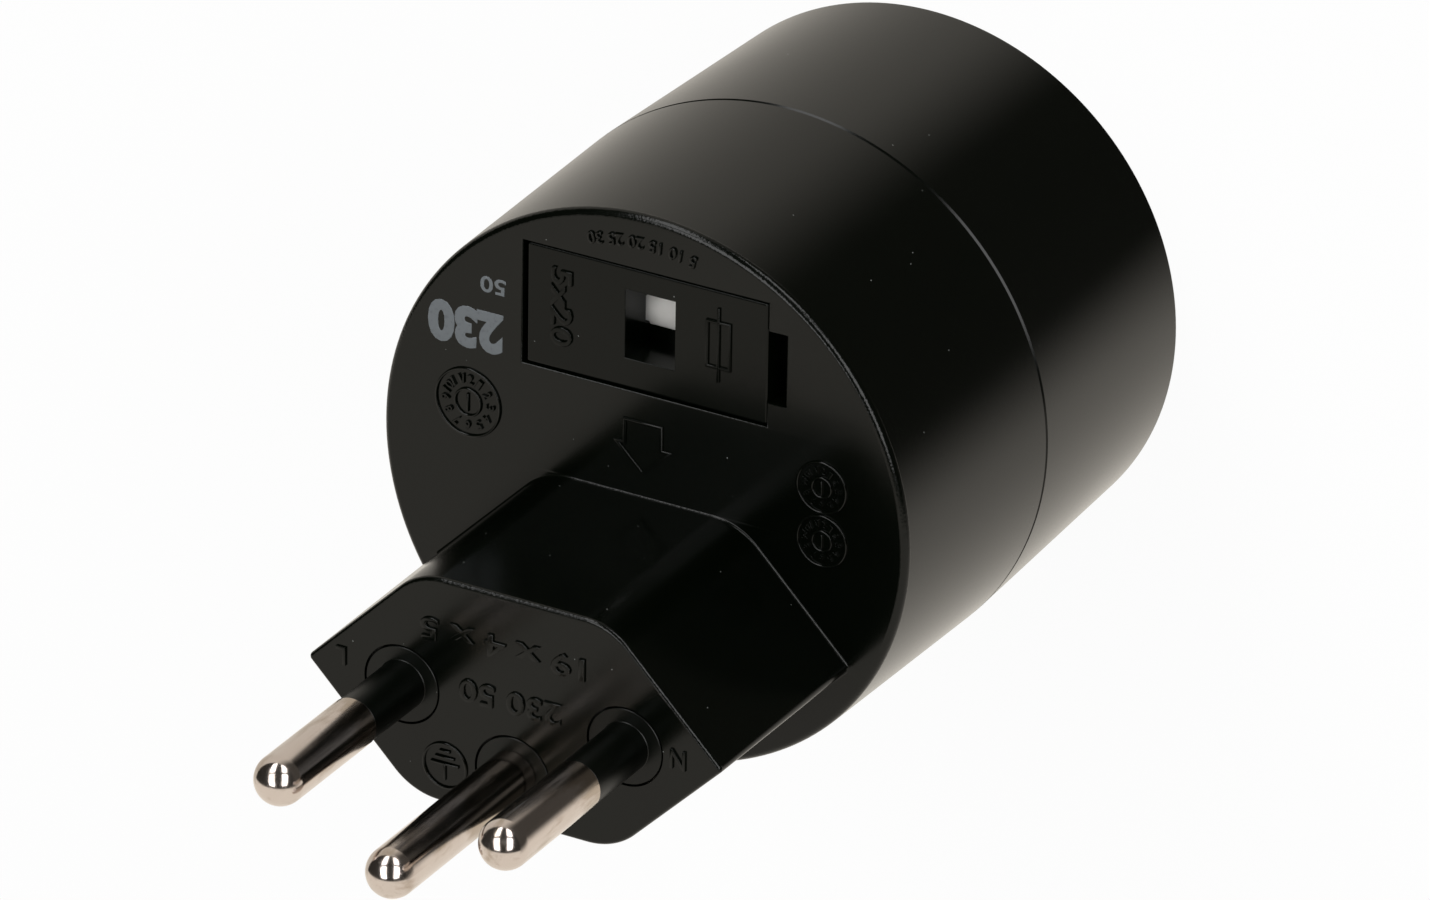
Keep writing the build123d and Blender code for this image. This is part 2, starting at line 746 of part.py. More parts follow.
# Screw from the socket floor into the boss
with BuildPart() as housing_screw:
    with BuildSketch(Plane.XZ) as screw_profile:
        head = well_depth + screw_recess
        with BuildLine():
            Polyline(
                (0, head),
                (screw_head_radius, head),
                (screw_radius, head + screw_head_radius - screw_radius),
                (screw_radius, head + screw_length - screw_point),
                (screw_radius - screw_point_inset, head + screw_length),
                (0, head + screw_length),
                close=True,
            )
        make_face()
    revolve(axis=Axis.Z)
    with BuildSketch(Plane.XY.offset(head)) as cross:
        Rectangle(driver_length, driver_width)
        Rectangle(driver_width, driver_length)
    extrude(amount=driver_depth, mode=Mode.SUBTRACT)
housing_screw.part.label = "housing_screw"
export_step(housing_screw.part, "parts/housing_screw.step")
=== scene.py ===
# %% [markdown]
# This lesson dresses a round travel adapter. The packed model gives its 24 pieces at their real size
# and place. The shells, the fuse holder and the pins are made again here as clean surfaces, because
# the packed meshes are loose flat triangles, which would show as facets in glossy plastic.

# %% Load the packed model
import math

import bmesh
import bpy
import numpy as np
from mathutils import Matrix, Vector
from mathutils.geometry import tessellate_polygon


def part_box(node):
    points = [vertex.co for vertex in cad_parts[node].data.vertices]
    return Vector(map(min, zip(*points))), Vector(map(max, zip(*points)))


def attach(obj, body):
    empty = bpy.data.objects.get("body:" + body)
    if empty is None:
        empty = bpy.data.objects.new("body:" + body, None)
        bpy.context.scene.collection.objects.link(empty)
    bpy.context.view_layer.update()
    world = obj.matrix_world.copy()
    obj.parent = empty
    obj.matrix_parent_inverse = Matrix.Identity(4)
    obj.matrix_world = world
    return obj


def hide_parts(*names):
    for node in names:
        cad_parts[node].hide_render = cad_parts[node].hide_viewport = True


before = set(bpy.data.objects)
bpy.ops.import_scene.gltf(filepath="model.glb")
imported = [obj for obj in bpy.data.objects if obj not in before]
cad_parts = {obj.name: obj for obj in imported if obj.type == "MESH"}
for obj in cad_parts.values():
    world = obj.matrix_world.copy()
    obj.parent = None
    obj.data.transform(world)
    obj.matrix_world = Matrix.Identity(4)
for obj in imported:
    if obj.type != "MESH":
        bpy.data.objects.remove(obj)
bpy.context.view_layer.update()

MM = 0.001

# %% [markdown]
# Two tools make almost every surface. An outline is a closed loop of points with an outward vector at
# each point. A sweep carries a profile, a list of offsets and heights, round such an outline. A round
# part is the same thing with a single point as its outline, so one function does both.

# %% Outlines
CIRCLE_POINTS = 192
PIN_POINTS = 96
HOLE_POINTS = 64


def circle(radius=0.0, centre=(0, 0), count=CIRCLE_POINTS):
    """A circle round a centre. Point = centre + radius * (cos a, sin a), outward = (cos a, sin a)."""
    angle = np.linspace(0, 2 * np.pi, count, endpoint=False)
    outward = np.column_stack([np.cos(angle), np.sin(angle)])
    return np.asarray(centre) + radius * outward, outward


def unit(vectors):
    """Each row divided by its own length."""
    return vectors / np.linalg.norm(vectors, axis=1)[:, None]


def sharp_outline(corners):
    """A closed outline with sharp corners, anticlockwise. The outward vector of a corner is the sum of
    its two side normals divided by one plus their dot product, so that moved sides stay parallel."""
    points = np.asarray(corners, float)
    side = unit(np.roll(points, -1, axis=0) - points)
    normal = np.column_stack([side[:, 1], -side[:, 0]])
    before = np.roll(normal, 1, axis=0)
    share = 1 + np.sum(normal * before, axis=1)
    return points, (normal + before) / share[:, None]


def corner_arcs(before, corner, after, radii, steps):
    """Arcs that round off corners. Each centre is on the corner's bisector, at radius / sin(half the
    angle) from the corner, and the arc turns the short way between the points where it touches."""
    back, ahead = unit(before - corner), unit(after - corner)
    bisector = unit(back + ahead)
    half = np.arccos(np.clip(np.sum(back * ahead, axis=1), -1, 1))[:, None] / 2
    centre = corner + bisector * radii[:, None] / np.sin(half)
    first, last = back * np.cos(half) - bisector, ahead * np.cos(half) - bisector
    start, stop = np.arctan2(first[:, 1], first[:, 0]), np.arctan2(last[:, 1], last[:, 0])
    turn = (stop - start + np.pi) % (2 * np.pi) - np.pi
    angle = start[:, None] + turn[:, None] * np.linspace(0, 1, steps)
    outward = np.stack([np.cos(angle), np.sin(angle)], axis=2)
    points = centre[:, None] + radii[:, None, None] * outward
    return points.reshape(-1, 2), outward.reshape(-1, 2)


def round_outline(corners, radii, steps=16):
    """A closed convex outline whose corners are arcs, anticlockwise."""
    points = np.asarray(corners, float)
    radii = np.broadcast_to(np.asarray(radii, float), len(points))
    return corner_arcs(np.roll(points, 1, axis=0), points, np.roll(points, -1, axis=0), radii, steps)


def rectangle(length, width, centre=(0, 0)):
    """The four corners of a rectangle, anticlockwise."""
    x, y = centre
    across, up = length / 2, width / 2
    return [(x - across, y - up), (x + across, y - up), (x + across, y + up), (x - across, y + up)]


def arc(centre, radius, start, stop, steps=8):
    """Profile points on an arc: centre + radius * (cos a, sin a), with a in degrees."""
    angle = np.radians(np.linspace(start, stop, steps))
    return [(centre[0] + radius * math.cos(a), centre[1] + radius * math.sin(a)) for a in angle]


print("points round a shell, a pin and a hole:", CIRCLE_POINTS, PIN_POINTS, HOLE_POINTS)

# %% [markdown]
# A sheet is an array of points and a list of the faces between them. A sweep is a grid of points,
# profile by outline, so its faces follow from the grid alone. Flat regions with holes in them are no
# grid, so they are filled with triangles between the loops that bound them.

# %% Sheets of faces
def grid_faces(rows, columns):
    """Quads between neighbouring points of a grid, whose last column joins the first."""
    here = np.arange(rows * columns).reshape(rows, columns)
    here = np.column_stack([here, here[:, :1]])
    corners = [here[:-1, :-1], here[:-1, 1:], here[1:, 1:], here[1:, :-1]]
    return np.stack(corners, axis=2).reshape(-1, 4).tolist()


def sweep(outline, profile):
    """Carries a profile round an outline: outline point + outward vector * offset, at the height."""
    points, outward = outline
    offset, height = np.asarray(profile, float).T
    flat = points[None] + outward[None] * offset[:, None, None]
    level = np.broadcast_to(height[:, None, None], (len(height), len(points), 1))
    grid = np.concatenate([flat, level], axis=2)
    return grid.reshape(-1, 3), grid_faces(len(height), len(points))


def spin(profile, centre=(0, 0), count=HOLE_POINTS):
    """A turned surface: a profile of radii and heights, carried round one point."""
    return sweep(circle(0, centre, count), profile)


def fill(loops, height):
    """Triangles that fill the flat region inside the first loop and outside the others."""
    rings = [np.column_stack([loop, np.full(len(loop), height)]) for loop in loops]
    triangles = tessellate_polygon([ring.tolist() for ring in rings])
    return np.vstack(rings), [list(t) for t in triangles]


def moved(outline, offset):
    """The points of an outline after it has grown outwards by an offset."""
    points, outward = outline
    return points + outward * offset


def round_loop(radius, centre=(0, 0)):
    """The points where a small round hole or post meets a flat face."""
    return circle(radius, centre, HOLE_POINTS)[0]


print("faces of a turned ring:", len(spin([(1, 0), (1, 1)])[1]))

# %% [markdown]
# A piece is its sheets put together. Sheets that meet share their edge points, so merging those points
# closes the mesh, and a closed mesh can be told to turn its faces outwards. Weighted normals then keep
# flat faces flat right up to their small rounded edges, which is what makes moulded plastic look real.

# %% Pieces
SHARP_ANGLE = 32.0
MERGE_DISTANCE = 2e-7


def cleaned(mesh):
    """Merges doubled points, turns the faces outwards and returns the number of open edges."""
    work = bmesh.new()
    work.from_mesh(mesh)
    bmesh.ops.remove_doubles(work, verts=work.verts, dist=MERGE_DISTANCE)
    bmesh.ops.recalc_face_normals(work, faces=work.faces)
    open_edges = sum(not edge.is_manifold for edge in work.edges)
    work.to_mesh(mesh)
    work.free()
    return open_edges


def linked(name, data):
    """A new object in the scene."""
    made = bpy.data.objects.new(name, data)
    bpy.context.scene.collection.objects.link(made)
    return made


def piece(name, sheets, finish, body, nodes=()):
    """Makes one object of sheets in millimetres, and hangs it on its body."""
    starts = np.cumsum([0] + [len(points) for points, _ in sheets])
    points = np.vstack([points for points, _ in sheets]) * MM
    faces = [[i + start for i in face] for (_, part), start in zip(sheets, starts) for face in part]
    mesh = bpy.data.meshes.new(name)
    mesh.from_pydata(points.tolist(), [], faces)
    open_edges = cleaned(mesh)
    mesh.polygons.foreach_set("use_smooth", np.ones(len(mesh.polygons), bool))
    mesh.set_sharp_from_angle(angle=math.radians(SHARP_ANGLE))
    mesh.materials.append(finish)
    made = linked(name, mesh)
    weighted = made.modifiers.new("flat faces stay flat", "WEIGHTED_NORMAL")
    weighted.keep_sharp = True
    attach(made, body)
    if nodes:
        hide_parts(*nodes)
    print(name, "faces:", len(mesh.polygons), "open edges:", open_edges)


print("edges sharper than", SHARP_ANGLE, "degrees stay sharp")

# %% [markdown]
# Finishes are written as sums. The Field class wraps a node's output, and adding or multiplying two
# fields adds a Math node, so that a formula reads as it would on paper. Patterns read Object
# coordinates, which are metres here, so a scale of 1 / size gives features of that size.

# %% Shader maths
class Field:
    """A node's output that can stand in a sum."""

    def __init__(self, graph, socket):
        self.graph = graph
        self.socket = socket

    def also(self, out):
        """Another output of the same node."""
        return Field(self.graph, self.socket.node.outputs[out])

    def math(self, operation, first, second):
        return self.graph.add("ShaderNodeMath", {"operation": operation}, {0: first, 1: second})

    def __add__(self, other):
        return self.math("ADD", self, other)

    def __radd__(self, other):
        return self.math("ADD", other, self)

    def __sub__(self, other):
        return self.math("SUBTRACT", self, other)

    def __rsub__(self, other):
        return self.math("SUBTRACT", other, self)

    def __mul__(self, other):
        return self.math("MULTIPLY", self, other)

    def __rmul__(self, other):
        return self.math("MULTIPLY", other, self)

    def __truediv__(self, other):
        return self.math("DIVIDE", self, other)


class Graph:
    """A node tree that is written as calls."""

    def __init__(self, tree):
        self.tree = tree
        tree.nodes.clear()

    def add(self, kind, settings=None, inputs=None, out=0):
        """Adds a node: its settings first, then the values or links of its sockets."""
        node = self.tree.nodes.new(kind)
        for name, value in (settings or {}).items():
            setattr(node, name, value)
        for key, value in (inputs or {}).items():
            if isinstance(value, Field):
                self.tree.links.new(value.socket, node.inputs[key])
            else:
                node.inputs[key].default_value = value
        return Field(self, node.outputs[out]) if node.outputs else None

    def place(self):
        """Object coordinates, in metres."""
        return self.add("ShaderNodeTexCoord", out="Object")

    def split(self, vector):
        """The first of a vector's three numbers. The other two are its also(1) and also(2)."""
        return self.add("ShaderNodeSeparateXYZ", inputs={"Vector": vector})

    def height(self):
        """The height above the socket rim, in millimetres."""
        return self.split(self.place()).also(2) / MM

    def noise(self, size, detail=2.0, stretch=(1, 1, 1)):
        """Soft random values from 0 to 1 with features of a size in millimetres."""
        where = self.add("ShaderNodeMapping", inputs={"Vector": self.place(), "Scale": stretch})
        wants = {"Vector": where, "Scale": 1 / (size * MM), "Detail": detail}
        return self.add("ShaderNodeTexNoise", inputs=wants)

    def to_spot(self, cell):
        """The distance to the nearest of many random points, one to a cell, both in millimetres."""
        wants = {"Vector": self.place(), "Scale": 1 / (cell * MM)}
        return self.add("ShaderNodeTexVoronoi", inputs=wants) * cell

    def ramp(self, value, low, high):
        """Goes smoothly from 0 at low to 1 at high."""
        wants = {"Value": value, "From Min": low, "From Max": high}
        return self.add("ShaderNodeMapRange", {"interpolation_type": "SMOOTHSTEP"}, wants)

    def blend(self, share, first, second):
        """A colour between two colours."""
        return self.add("ShaderNodeMix", {"data_type": "RGBA"}, {0: share, 6: first, 7: second}, 2)


def new_material(name):
    """A material and its empty graph."""
    material = bpy.data.materials.new(name)
    material.use_nodes = True
    return material, Graph(material.node_tree)


def finish(name, surface, grain, relief_mm, **inputs):
    """A material with one Principled shader. Both functions are called with the graph: surface
    returns inputs of the shader, and grain returns the height of the relief, from 0 to about 1."""
    material, graph = new_material(name)
    wants = {**inputs, **surface(graph)}
    bump = {"Height": grain(graph), "Distance": relief_mm * MM, "Strength": 1.0}
    wants["Normal"] = graph.add("ShaderNodeBump", inputs=bump)
    shader = graph.add("ShaderNodeBsdfPrincipled", inputs=wants)
    graph.add("ShaderNodeOutputMaterial", inputs={"Surface": shader})
    print("finish:", name)
    return material


print("operators of a field:", [name for name in vars(Field) if name.startswith("__r")])

# %% [markdown]
# The housing is black injection-moulded plastic. It is almost without colour of its own: what the eye
# sees is a satin reflection, strong near the silhouette and weak where the surface faces the viewer.
# So the colour is close to black, and the work is in the gloss: a fine grain from the mould, slow
# changes of roughness where the plastic flowed, and a speck of dust here and there.

# %% Plastics
BLACK = (0.0004, 0.0010, 0.0003, 1)
BLACK_LIGHTER = (0.0008, 0.0014, 0.0006, 1)
DUST = (0.20, 0.21, 0.20, 1)
DUST_CELL = 2.0
DUST_SIZE = 0.06
DUST_DULL = 0.3
FLOW_SIZE = 6.0
GRAIN_SIZE = 0.22
MOULD_DULL = 0.05
NOISE_MIDDLE = 0.5
FINE_RELIEF = 0.16
WIDE_RELIEF = 0.9
WIDE_SHARE = 0.6
PLASTIC_IOR = 1.33
LID_IOR = 1.27
SHELL_ROUGHNESS = 0.18
SHELL_RELIEF = 0.0011
SLEEVE_ROUGHNESS = 0.33
SLEEVE_RELIEF = 0.0008


def moulded(graph, roughness):
    flow = graph.noise(FLOW_SIZE, detail=3.0)
    grain = graph.noise(GRAIN_SIZE)
    dust = 1 - graph.ramp(graph.to_spot(DUST_CELL), DUST_SIZE / 2, DUST_SIZE)
    colour = graph.blend(dust, graph.blend(flow, BLACK, BLACK_LIGHTER), DUST)
    dull = MOULD_DULL * (flow - NOISE_MIDDLE) + MOULD_DULL * (grain - NOISE_MIDDLE) + DUST_DULL * dust
    return {"Base Color": colour, "Roughness": roughness + dull}


def mould_grain(graph):
    return graph.noise(FINE_RELIEF) + WIDE_SHARE * graph.noise(WIDE_RELIEF)


def black_plastic(name, roughness, relief_mm, ior=PLASTIC_IOR, grain=mould_grain):
    return finish(name, lambda g: moulded(g, roughness), grain, relief_mm, IOR=ior)


shell_plastic = black_plastic("black_moulded_plastic", SHELL_ROUGHNESS, SHELL_RELIEF)
lid_plastic = black_plastic("black_lid_plastic", SHELL_ROUGHNESS, SHELL_RELIEF, LID_IOR)
sleeve_plastic = black_plastic("black_sleeve_plastic", SLEEVE_ROUGHNESS, SLEEVE_RELIEF)

GREY_DARK = (0.045, 0.045, 0.043, 1)
GREY_LIGHT = (0.07, 0.07, 0.067, 1)
GREY_FLOW_SIZE = 3.0
GREY_ROUGHNESS = 0.45
GREY_DULL = 0.15
GREY_RELIEF = 0.003


def grey_plastic(graph):
    flow = graph.noise(GREY_FLOW_SIZE, detail=4.0)
    colour = graph.blend(flow, GREY_DARK, GREY_LIGHT)
    return {"Base Color": colour, "Roughness": GREY_ROUGHNESS + GREY_DULL * flow}


inner_plastic = finish("inner_grey_plastic", grey_plastic, mould_grain, GREY_RELIEF)

# %% [markdown]
# The pins are turned brass with a thin nickel coat, so they are mirror-like with a warm tint. Turning
# leaves fine rings round the pin, and pushing it into sockets leaves faint lines along it. Both are
# noise that is stretched: rings are long round the pin and short along it, and wear lines the reverse.
# Brown tarnish is blended in here and there. Next to the sleeve, painted shade darkens the coat brown:
# a blend by height with a ragged edge.

# %% Metals
NICKEL = (0.67, 0.60, 0.56, 1)
NICKEL_DULL = (0.52, 0.44, 0.39, 1)
NICKEL_BROWN = (0.38, 0.31, 0.24, 1)
NICKEL_ROUGHNESS = 0.12
BRASS = (0.78, 0.56, 0.25, 1)
BRASS_DULL = (0.50, 0.34, 0.15, 1)
BRASS_ROUGHNESS = 0.26
STEEL = (0.66, 0.65, 0.62, 1)
STEEL_DULL = (0.44, 0.43, 0.41, 1)
STEEL_ROUGHNESS = 0.28
ZINC_ROUGHNESS = 0.33
CLOUD_SIZE = 2.2
CLOUD_TINT = 0.35
CLOUD_DULL = 0.06
WEAR_SIZE = 0.5
WEAR_ALONG = (1, 1, 0.06)
WEAR_RANGE = (0.52, 0.72)
WEAR_TINT = 0.25
WEAR_DULL = 0.07


def plated(graph, bright, dull, roughness):
    cloud = graph.noise(CLOUD_SIZE, detail=4.0)
    scuffed = graph.ramp(graph.noise(WEAR_SIZE, detail=3.0, stretch=WEAR_ALONG), *WEAR_RANGE)
    colour = graph.blend(CLOUD_TINT * cloud + WEAR_TINT * scuffed, bright, dull)
    return {"Base Color": colour, "Roughness": roughness + CLOUD_DULL * cloud + WEAR_DULL * scuffed}


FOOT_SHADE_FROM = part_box("line_pin_sleeve")[1].z / MM
FOOT_SHADE_REACH = 4.7
STAIN_SIZE = 1.4
STAIN_ALONG = (1, 1, 0.35)
TARNISH_AND_SHADE_RANGE = (0.50, 0.74)
FOOT_SHADE_WEIGHT = 0.22
TARNISH_AND_SHADE_SHARE = 0.75


def stained(graph):
    """Nickel with brown tarnish in patches, and painted shade that browns it next to the sleeve."""
    base = plated(graph, NICKEL, NICKEL_DULL, NICKEL_ROUGHNESS)
    # Painted shade: the nickel turns darker brown next to the sleeve and fades out with height.
    near = 1 - graph.ramp(graph.height(), FOOT_SHADE_FROM, FOOT_SHADE_FROM + FOOT_SHADE_REACH)
    cloud = graph.noise(STAIN_SIZE, detail=4.0, stretch=STAIN_ALONG) + FOOT_SHADE_WEIGHT * near
    brown = TARNISH_AND_SHADE_SHARE * graph.ramp(cloud, *TARNISH_AND_SHADE_RANGE)
    base["Base Color"] = graph.blend(brown, base["Base Color"], NICKEL_BROWN)
    return base


# %% [markdown]
# Turned metal and rolled metal differ in their grain: rings with a few lines across them, or lines
# that run the length of the strip. The springs and strips are rolled, the pins and the screw turned.

# %% Grain of the metals
RING_SIZE = 0.9
RING_STRETCH = (0.15, 0.15, 9.0)
SCRATCH_SIZE = 0.35
SCRATCH_STRETCH = (1, 1, 0.05)
SCRATCH_SHARE = 0.5
ROLLED_SIZE = 0.5
ROLLED_STRETCH = (1, 0.08, 1)
PIN_RELIEF = 0.0014
METAL_RELIEF = 0.003


def turned_rings(graph):
    rings = graph.noise(RING_SIZE, detail=3.0, stretch=RING_STRETCH)
    return rings + SCRATCH_SHARE * graph.noise(SCRATCH_SIZE, detail=3.0, stretch=SCRATCH_STRETCH)


def rolled_grain(graph):
    return graph.noise(ROLLED_SIZE, detail=3.0, stretch=ROLLED_STRETCH)


def metal(name, bright, dull, roughness, grain):
    return finish(name, lambda g: plated(g, bright, dull, roughness), grain, METAL_RELIEF, Metallic=1.0)


nickel = finish("nickel_plate", stained, turned_rings, PIN_RELIEF, Metallic=1.0)
brass = metal("rolled_brass", BRASS, BRASS_DULL, BRASS_ROUGHNESS, rolled_grain)
spring = metal("spring_steel", STEEL, STEEL_DULL, STEEL_ROUGHNESS, rolled_grain)
zinc = metal("zinc_steel", STEEL_DULL, STEEL, ZINC_ROUGHNESS, turned_rings)

# %% [markdown]
# The fuse tube is fired ceramic, matt and slightly cloudy. The grey numbers on the plate are pad
# printed, so their ink is a little thinner in places. Both need only one noise in the colour.

# %% Fuse and print
CERAMIC = (0.80, 0.79, 0.76, 1)
CERAMIC_SHADE = (0.72, 0.70, 0.66, 1)
CERAMIC_CLOUD = 0.8
CERAMIC_ROUGHNESS = 0.42
CERAMIC_RELIEF = 0.004
PRINT_GREY = (0.115, 0.128, 0.138, 1)
PRINT_THIN = (0.080, 0.090, 0.098, 1)
PRINT_CLOUD = 0.35
PRINT_RANGE = (0.5, 0.8)
PRINT_ROUGHNESS = 0.5
PRINT_DULL = 0.1
PRINT_RELIEF = 0.002
POWDER_SIZE = 0.2


def fired(graph):
    colour = graph.blend(graph.noise(CERAMIC_CLOUD, detail=4.0), CERAMIC, CERAMIC_SHADE)
    return {"Base Color": colour, "Roughness": CERAMIC_ROUGHNESS}


def pad_print(graph):
    thin = graph.ramp(graph.noise(PRINT_CLOUD, detail=4.0), *PRINT_RANGE)
    colour = graph.blend(thin, PRINT_GREY, PRINT_THIN)
    return {"Base Color": colour, "Roughness": PRINT_ROUGHNESS + PRINT_DULL * thin}


def powder(graph):
    return graph.noise(POWDER_SIZE, detail=3.0)


ceramic = finish("fired_ceramic", fired, powder, CERAMIC_RELIEF)
print_grey = finish("grey_print", pad_print, powder, PRINT_RELIEF)

# %% [markdown]
# The sizes are the object's own, in millimetres, with the socket rim at zero and the pins pointing up.
# The levels that the packed model knows are read from it, so that the two can't drift apart.

# %% Levels and radii
rear_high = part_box("rear_housing")[1]
sleeve_low, sleeve_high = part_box("line_pin_sleeve")
holder_low, holder_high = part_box("fuse_holder")
pin_low, pin_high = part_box("line_pin")
earth_low, earth_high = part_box("earth_pin")

SPIGOT_HEIGHT = 2.6
HOLDER_SINK = 0.15
SLEEVE_LENGTH = 7.0
PLATE_DRAFT = 0.4
PLATE_THICKNESS = 2.2
REAR_DRAFT = 0.75
SHELL_WALL = 2.1
SEAM_CHAMFER = 0.16

SEAM_RADIUS = rear_high.x / MM
SEAM = rear_high.z / MM - SPIGOT_HEIGHT
PLATE = holder_high.z / MM + HOLDER_SINK
PLATE_BACK = PLATE - PLATE_THICKNESS
PLATE_RADIUS = SEAM_RADIUS - PLATE_DRAFT
RIM_RADIUS = SEAM_RADIUS - REAR_DRAFT
PIN_TIP = pin_high.z / MM
SLEEVE_TOP = sleeve_high.z / MM
NOSE = SLEEVE_TOP - SLEEVE_LENGTH
NOSE_BACK = sleeve_low.z / MM
print("seam", round(SEAM, 2), "plate", round(PLATE, 2), "nose", round(NOSE, 2), "tip", round(PIN_TIP, 2))

PIN_LINE = (pin_low.y + pin_high.y) / 2 / MM
EARTH_LINE = (earth_low.y + earth_high.y) / 2 / MM
LIVE_X = abs(pin_low.x + pin_high.x) / 2 / MM
PIN_PLACES = [(-LIVE_X, PIN_LINE), (LIVE_X, PIN_LINE), (0.0, EARTH_LINE)]
print("pins at", [(round(x, 2), round(y, 2)) for x, y in PIN_PLACES])

# %% [markdown]
# The plug is a flat hexagon whose four wide corners are well rounded and whose two side corners are
# almost sharp. Its walls lean in a little, as any moulding's do. An outline with an inset gives both
# the outside and, with the wall's thickness as the inset, the inside.

# %% Outline of the plug
PLUG_HALF_WIDTH = 17.7
PLUG_HALF_HEIGHT = 9.3
PLUG_CENTRE = -10.1
PLUG_CORNER = 5.5
PLUG_SIDE_CORNER = 0.4
PLUG_SIDE_DROP = 0.2
PLUG_WALL = 1.8


def plug_outline(inset=0.0):
    """Six sides: 45 degree flanks that meet at the two side corners, and a flat above and below.
    The side corners lie a little below the middle, so the upper flat is the shorter one."""
    half = PLUG_HALF_WIDTH - inset * math.sqrt(2)
    rise = PLUG_HALF_HEIGHT - inset
    side = -PLUG_SIDE_DROP
    top = half - rise + side
    bottom = half - rise - side
    corners = [(half, side), (top, rise), (-top, rise), (-half, side), (-bottom, -rise), (bottom, -rise)]
    wide = PLUG_CORNER - inset
    radii = [PLUG_SIDE_CORNER, wide, wide, PLUG_SIDE_CORNER, wide, wide]
    return round_outline([(x, y + PLUG_CENTRE) for x, y in corners], radii)


foot = plug_outline()
inner_foot = plug_outline(PLUG_WALL)
print("plug spans", np.round(np.ptp(foot[0], axis=0), 2))

# %% [markdown]
# The fuse holder sits in a pocket of the plate with a hair of room round it. At one end the pocket has
# a notch for a screwdriver. The notch is shallow and the pocket deep, so there are two outlines: the
# opening in the plate with the notch, and the pocket below it without.

# %% Outlines of the pocket and its notch
HOLDER_GAP = 0.12
HOLDER_END_GAP = 0.32
HOLDER_NEAR_GAP = 0.06
HOLDER_CENTRE = ((holder_low.x + holder_high.x) / 2 / MM, (holder_low.y + holder_high.y) / 2 / MM)
HOLDER_LENGTH = (holder_high.x - holder_low.x) / MM
HOLDER_WIDTH = (holder_high.y - holder_low.y) / MM
NOTCH_LENGTH = 1.6
NOTCH_SIDES = (9.8, 15.7)
NOTCH_DEPTH = 3.4
CHAMBER_DEPTH = 10.2
NOTCH_FLOOR = PLATE - NOTCH_DEPTH
CHAMBER_BOTTOM = PLATE - CHAMBER_DEPTH
POCKET_EDGE = 0.12

pocket_middle = (HOLDER_CENTRE[0] + (HOLDER_NEAR_GAP - HOLDER_END_GAP) / 2, HOLDER_CENTRE[1])
pocket_length = HOLDER_LENGTH + HOLDER_NEAR_GAP + HOLDER_END_GAP
pocket_corners = rectangle(pocket_length, HOLDER_WIDTH + 2 * HOLDER_GAP, pocket_middle)
pocket_right = pocket_corners[1][0]
notch_near = [(pocket_right, y) for y in NOTCH_SIDES]
notch_far = [(pocket_right + NOTCH_LENGTH, y) for y in NOTCH_SIDES]
notch = [notch_near[0], *notch_far, notch_near[1]]
opening = sharp_outline([*pocket_corners[:2], *notch, *pocket_corners[2:]])
pocket = sharp_outline([*pocket_corners[:2], *notch_near, *pocket_corners[2:]])
print("pocket", round(pocket_length, 2), "long, notch", NOTCH_LENGTH, "more")

# %% [markdown]
# The mould's edges leave the plastic a little ragged, which breaks the bright line on each rounded
# edge into fine sparks. So the front shell has the same plastic with a coarser grain in three bands of
# height: the plate's rim, the plug's foot and the nose's edge.

# %% Plastic of the front shell
PLATE_ROUNDING = 0.6
FOOT_FILLET = 0.16
NOSE_EDGE = 0.35
EDGE_SOFTNESS = 0.03
EDGE_GRAIN_SIZE = 0.22
EDGE_GRAIN = 16.0
PLATE_CLEAR = 0.01
EDGE_BANDS = [
    (PLATE - PLATE_ROUNDING, PLATE),
    (PLATE + PLATE_CLEAR, PLATE + FOOT_FILLET),
    (NOSE - NOSE_EDGE, NOSE),
]


def edge_grain(graph):
    """The mould's grain plus a coarser one where the height lies in one of the edge bands."""
    height = graph.height()
    total = mould_grain(graph)
    coarse = EDGE_GRAIN * graph.noise(EDGE_GRAIN_SIZE, detail=1.0)
    for low, high in EDGE_BANDS:
        above = graph.ramp(height, low, low + EDGE_SOFTNESS)
        below = 1 - graph.ramp(height, high - EDGE_SOFTNESS, high)
        total = total + above * below * coarse
    return total


front_plastic = black_plastic("black_front_plastic", SHELL_ROUGHNESS, SHELL_RELIEF, grain=edge_grain)

# %% [markdown]
# The front shell is one moulding: the round wall with its plate, the flat plug that stands on it, and
# the pocket for the fuse holder. Its profiles come first. Each starts and ends exactly where a flat
# face begins, so that the face can be filled between the loops.

# %% Profiles of the front shell
PLUG_DRAFT = 0.12
PLUG_ROOT = 1.1
BUSH_HOLE = 3.23
BUSH_STEP = 2.73
BUSH_DEPTH = 1.2
BOSS_RADIUS = 3.2
BOSS_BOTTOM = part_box("front_housing")[0].z / MM
SCREW_HOLE = 1.5
SCREW_HOLE_DEPTH = 16.0
SCREW_HOLE_TOP = BOSS_BOTTOM + SCREW_HOLE_DEPTH

wall_slope = math.atan(PLATE_DRAFT / (PLATE - SEAM))
rounding_level = PLATE - PLATE_ROUNDING
wall_there = PLATE_RADIUS + PLATE_DRAFT * PLATE_ROUNDING / (PLATE - SEAM)
rounding_radius = wall_there - PLATE_ROUNDING / math.cos(wall_slope)
inside_seam = SEAM_RADIUS - SHELL_WALL
inside_plate = PLATE_RADIUS - SHELL_WALL

wall_profile = [(SEAM_RADIUS - SEAM_CHAMFER, SEAM), (SEAM_RADIUS, SEAM + SEAM_CHAMFER)]
rounding_centre = (rounding_radius, rounding_level)
wall_profile += arc(rounding_centre, PLATE_ROUNDING, math.degrees(wall_slope), 90, steps=12)

# The packed plug tapers from its root a little below the plate, so this is its draft at the plate
foot_draft = PLUG_DRAFT * (NOSE - PLATE) / (NOSE - PLATE + PLUG_ROOT)
foot_profile = arc((foot_draft + FOOT_FILLET, PLATE + FOOT_FILLET), FOOT_FILLET, 270, 180, steps=6)
plug_profile = foot_profile + arc((-NOSE_EDGE, NOSE - NOSE_EDGE), NOSE_EDGE, 0, 90)

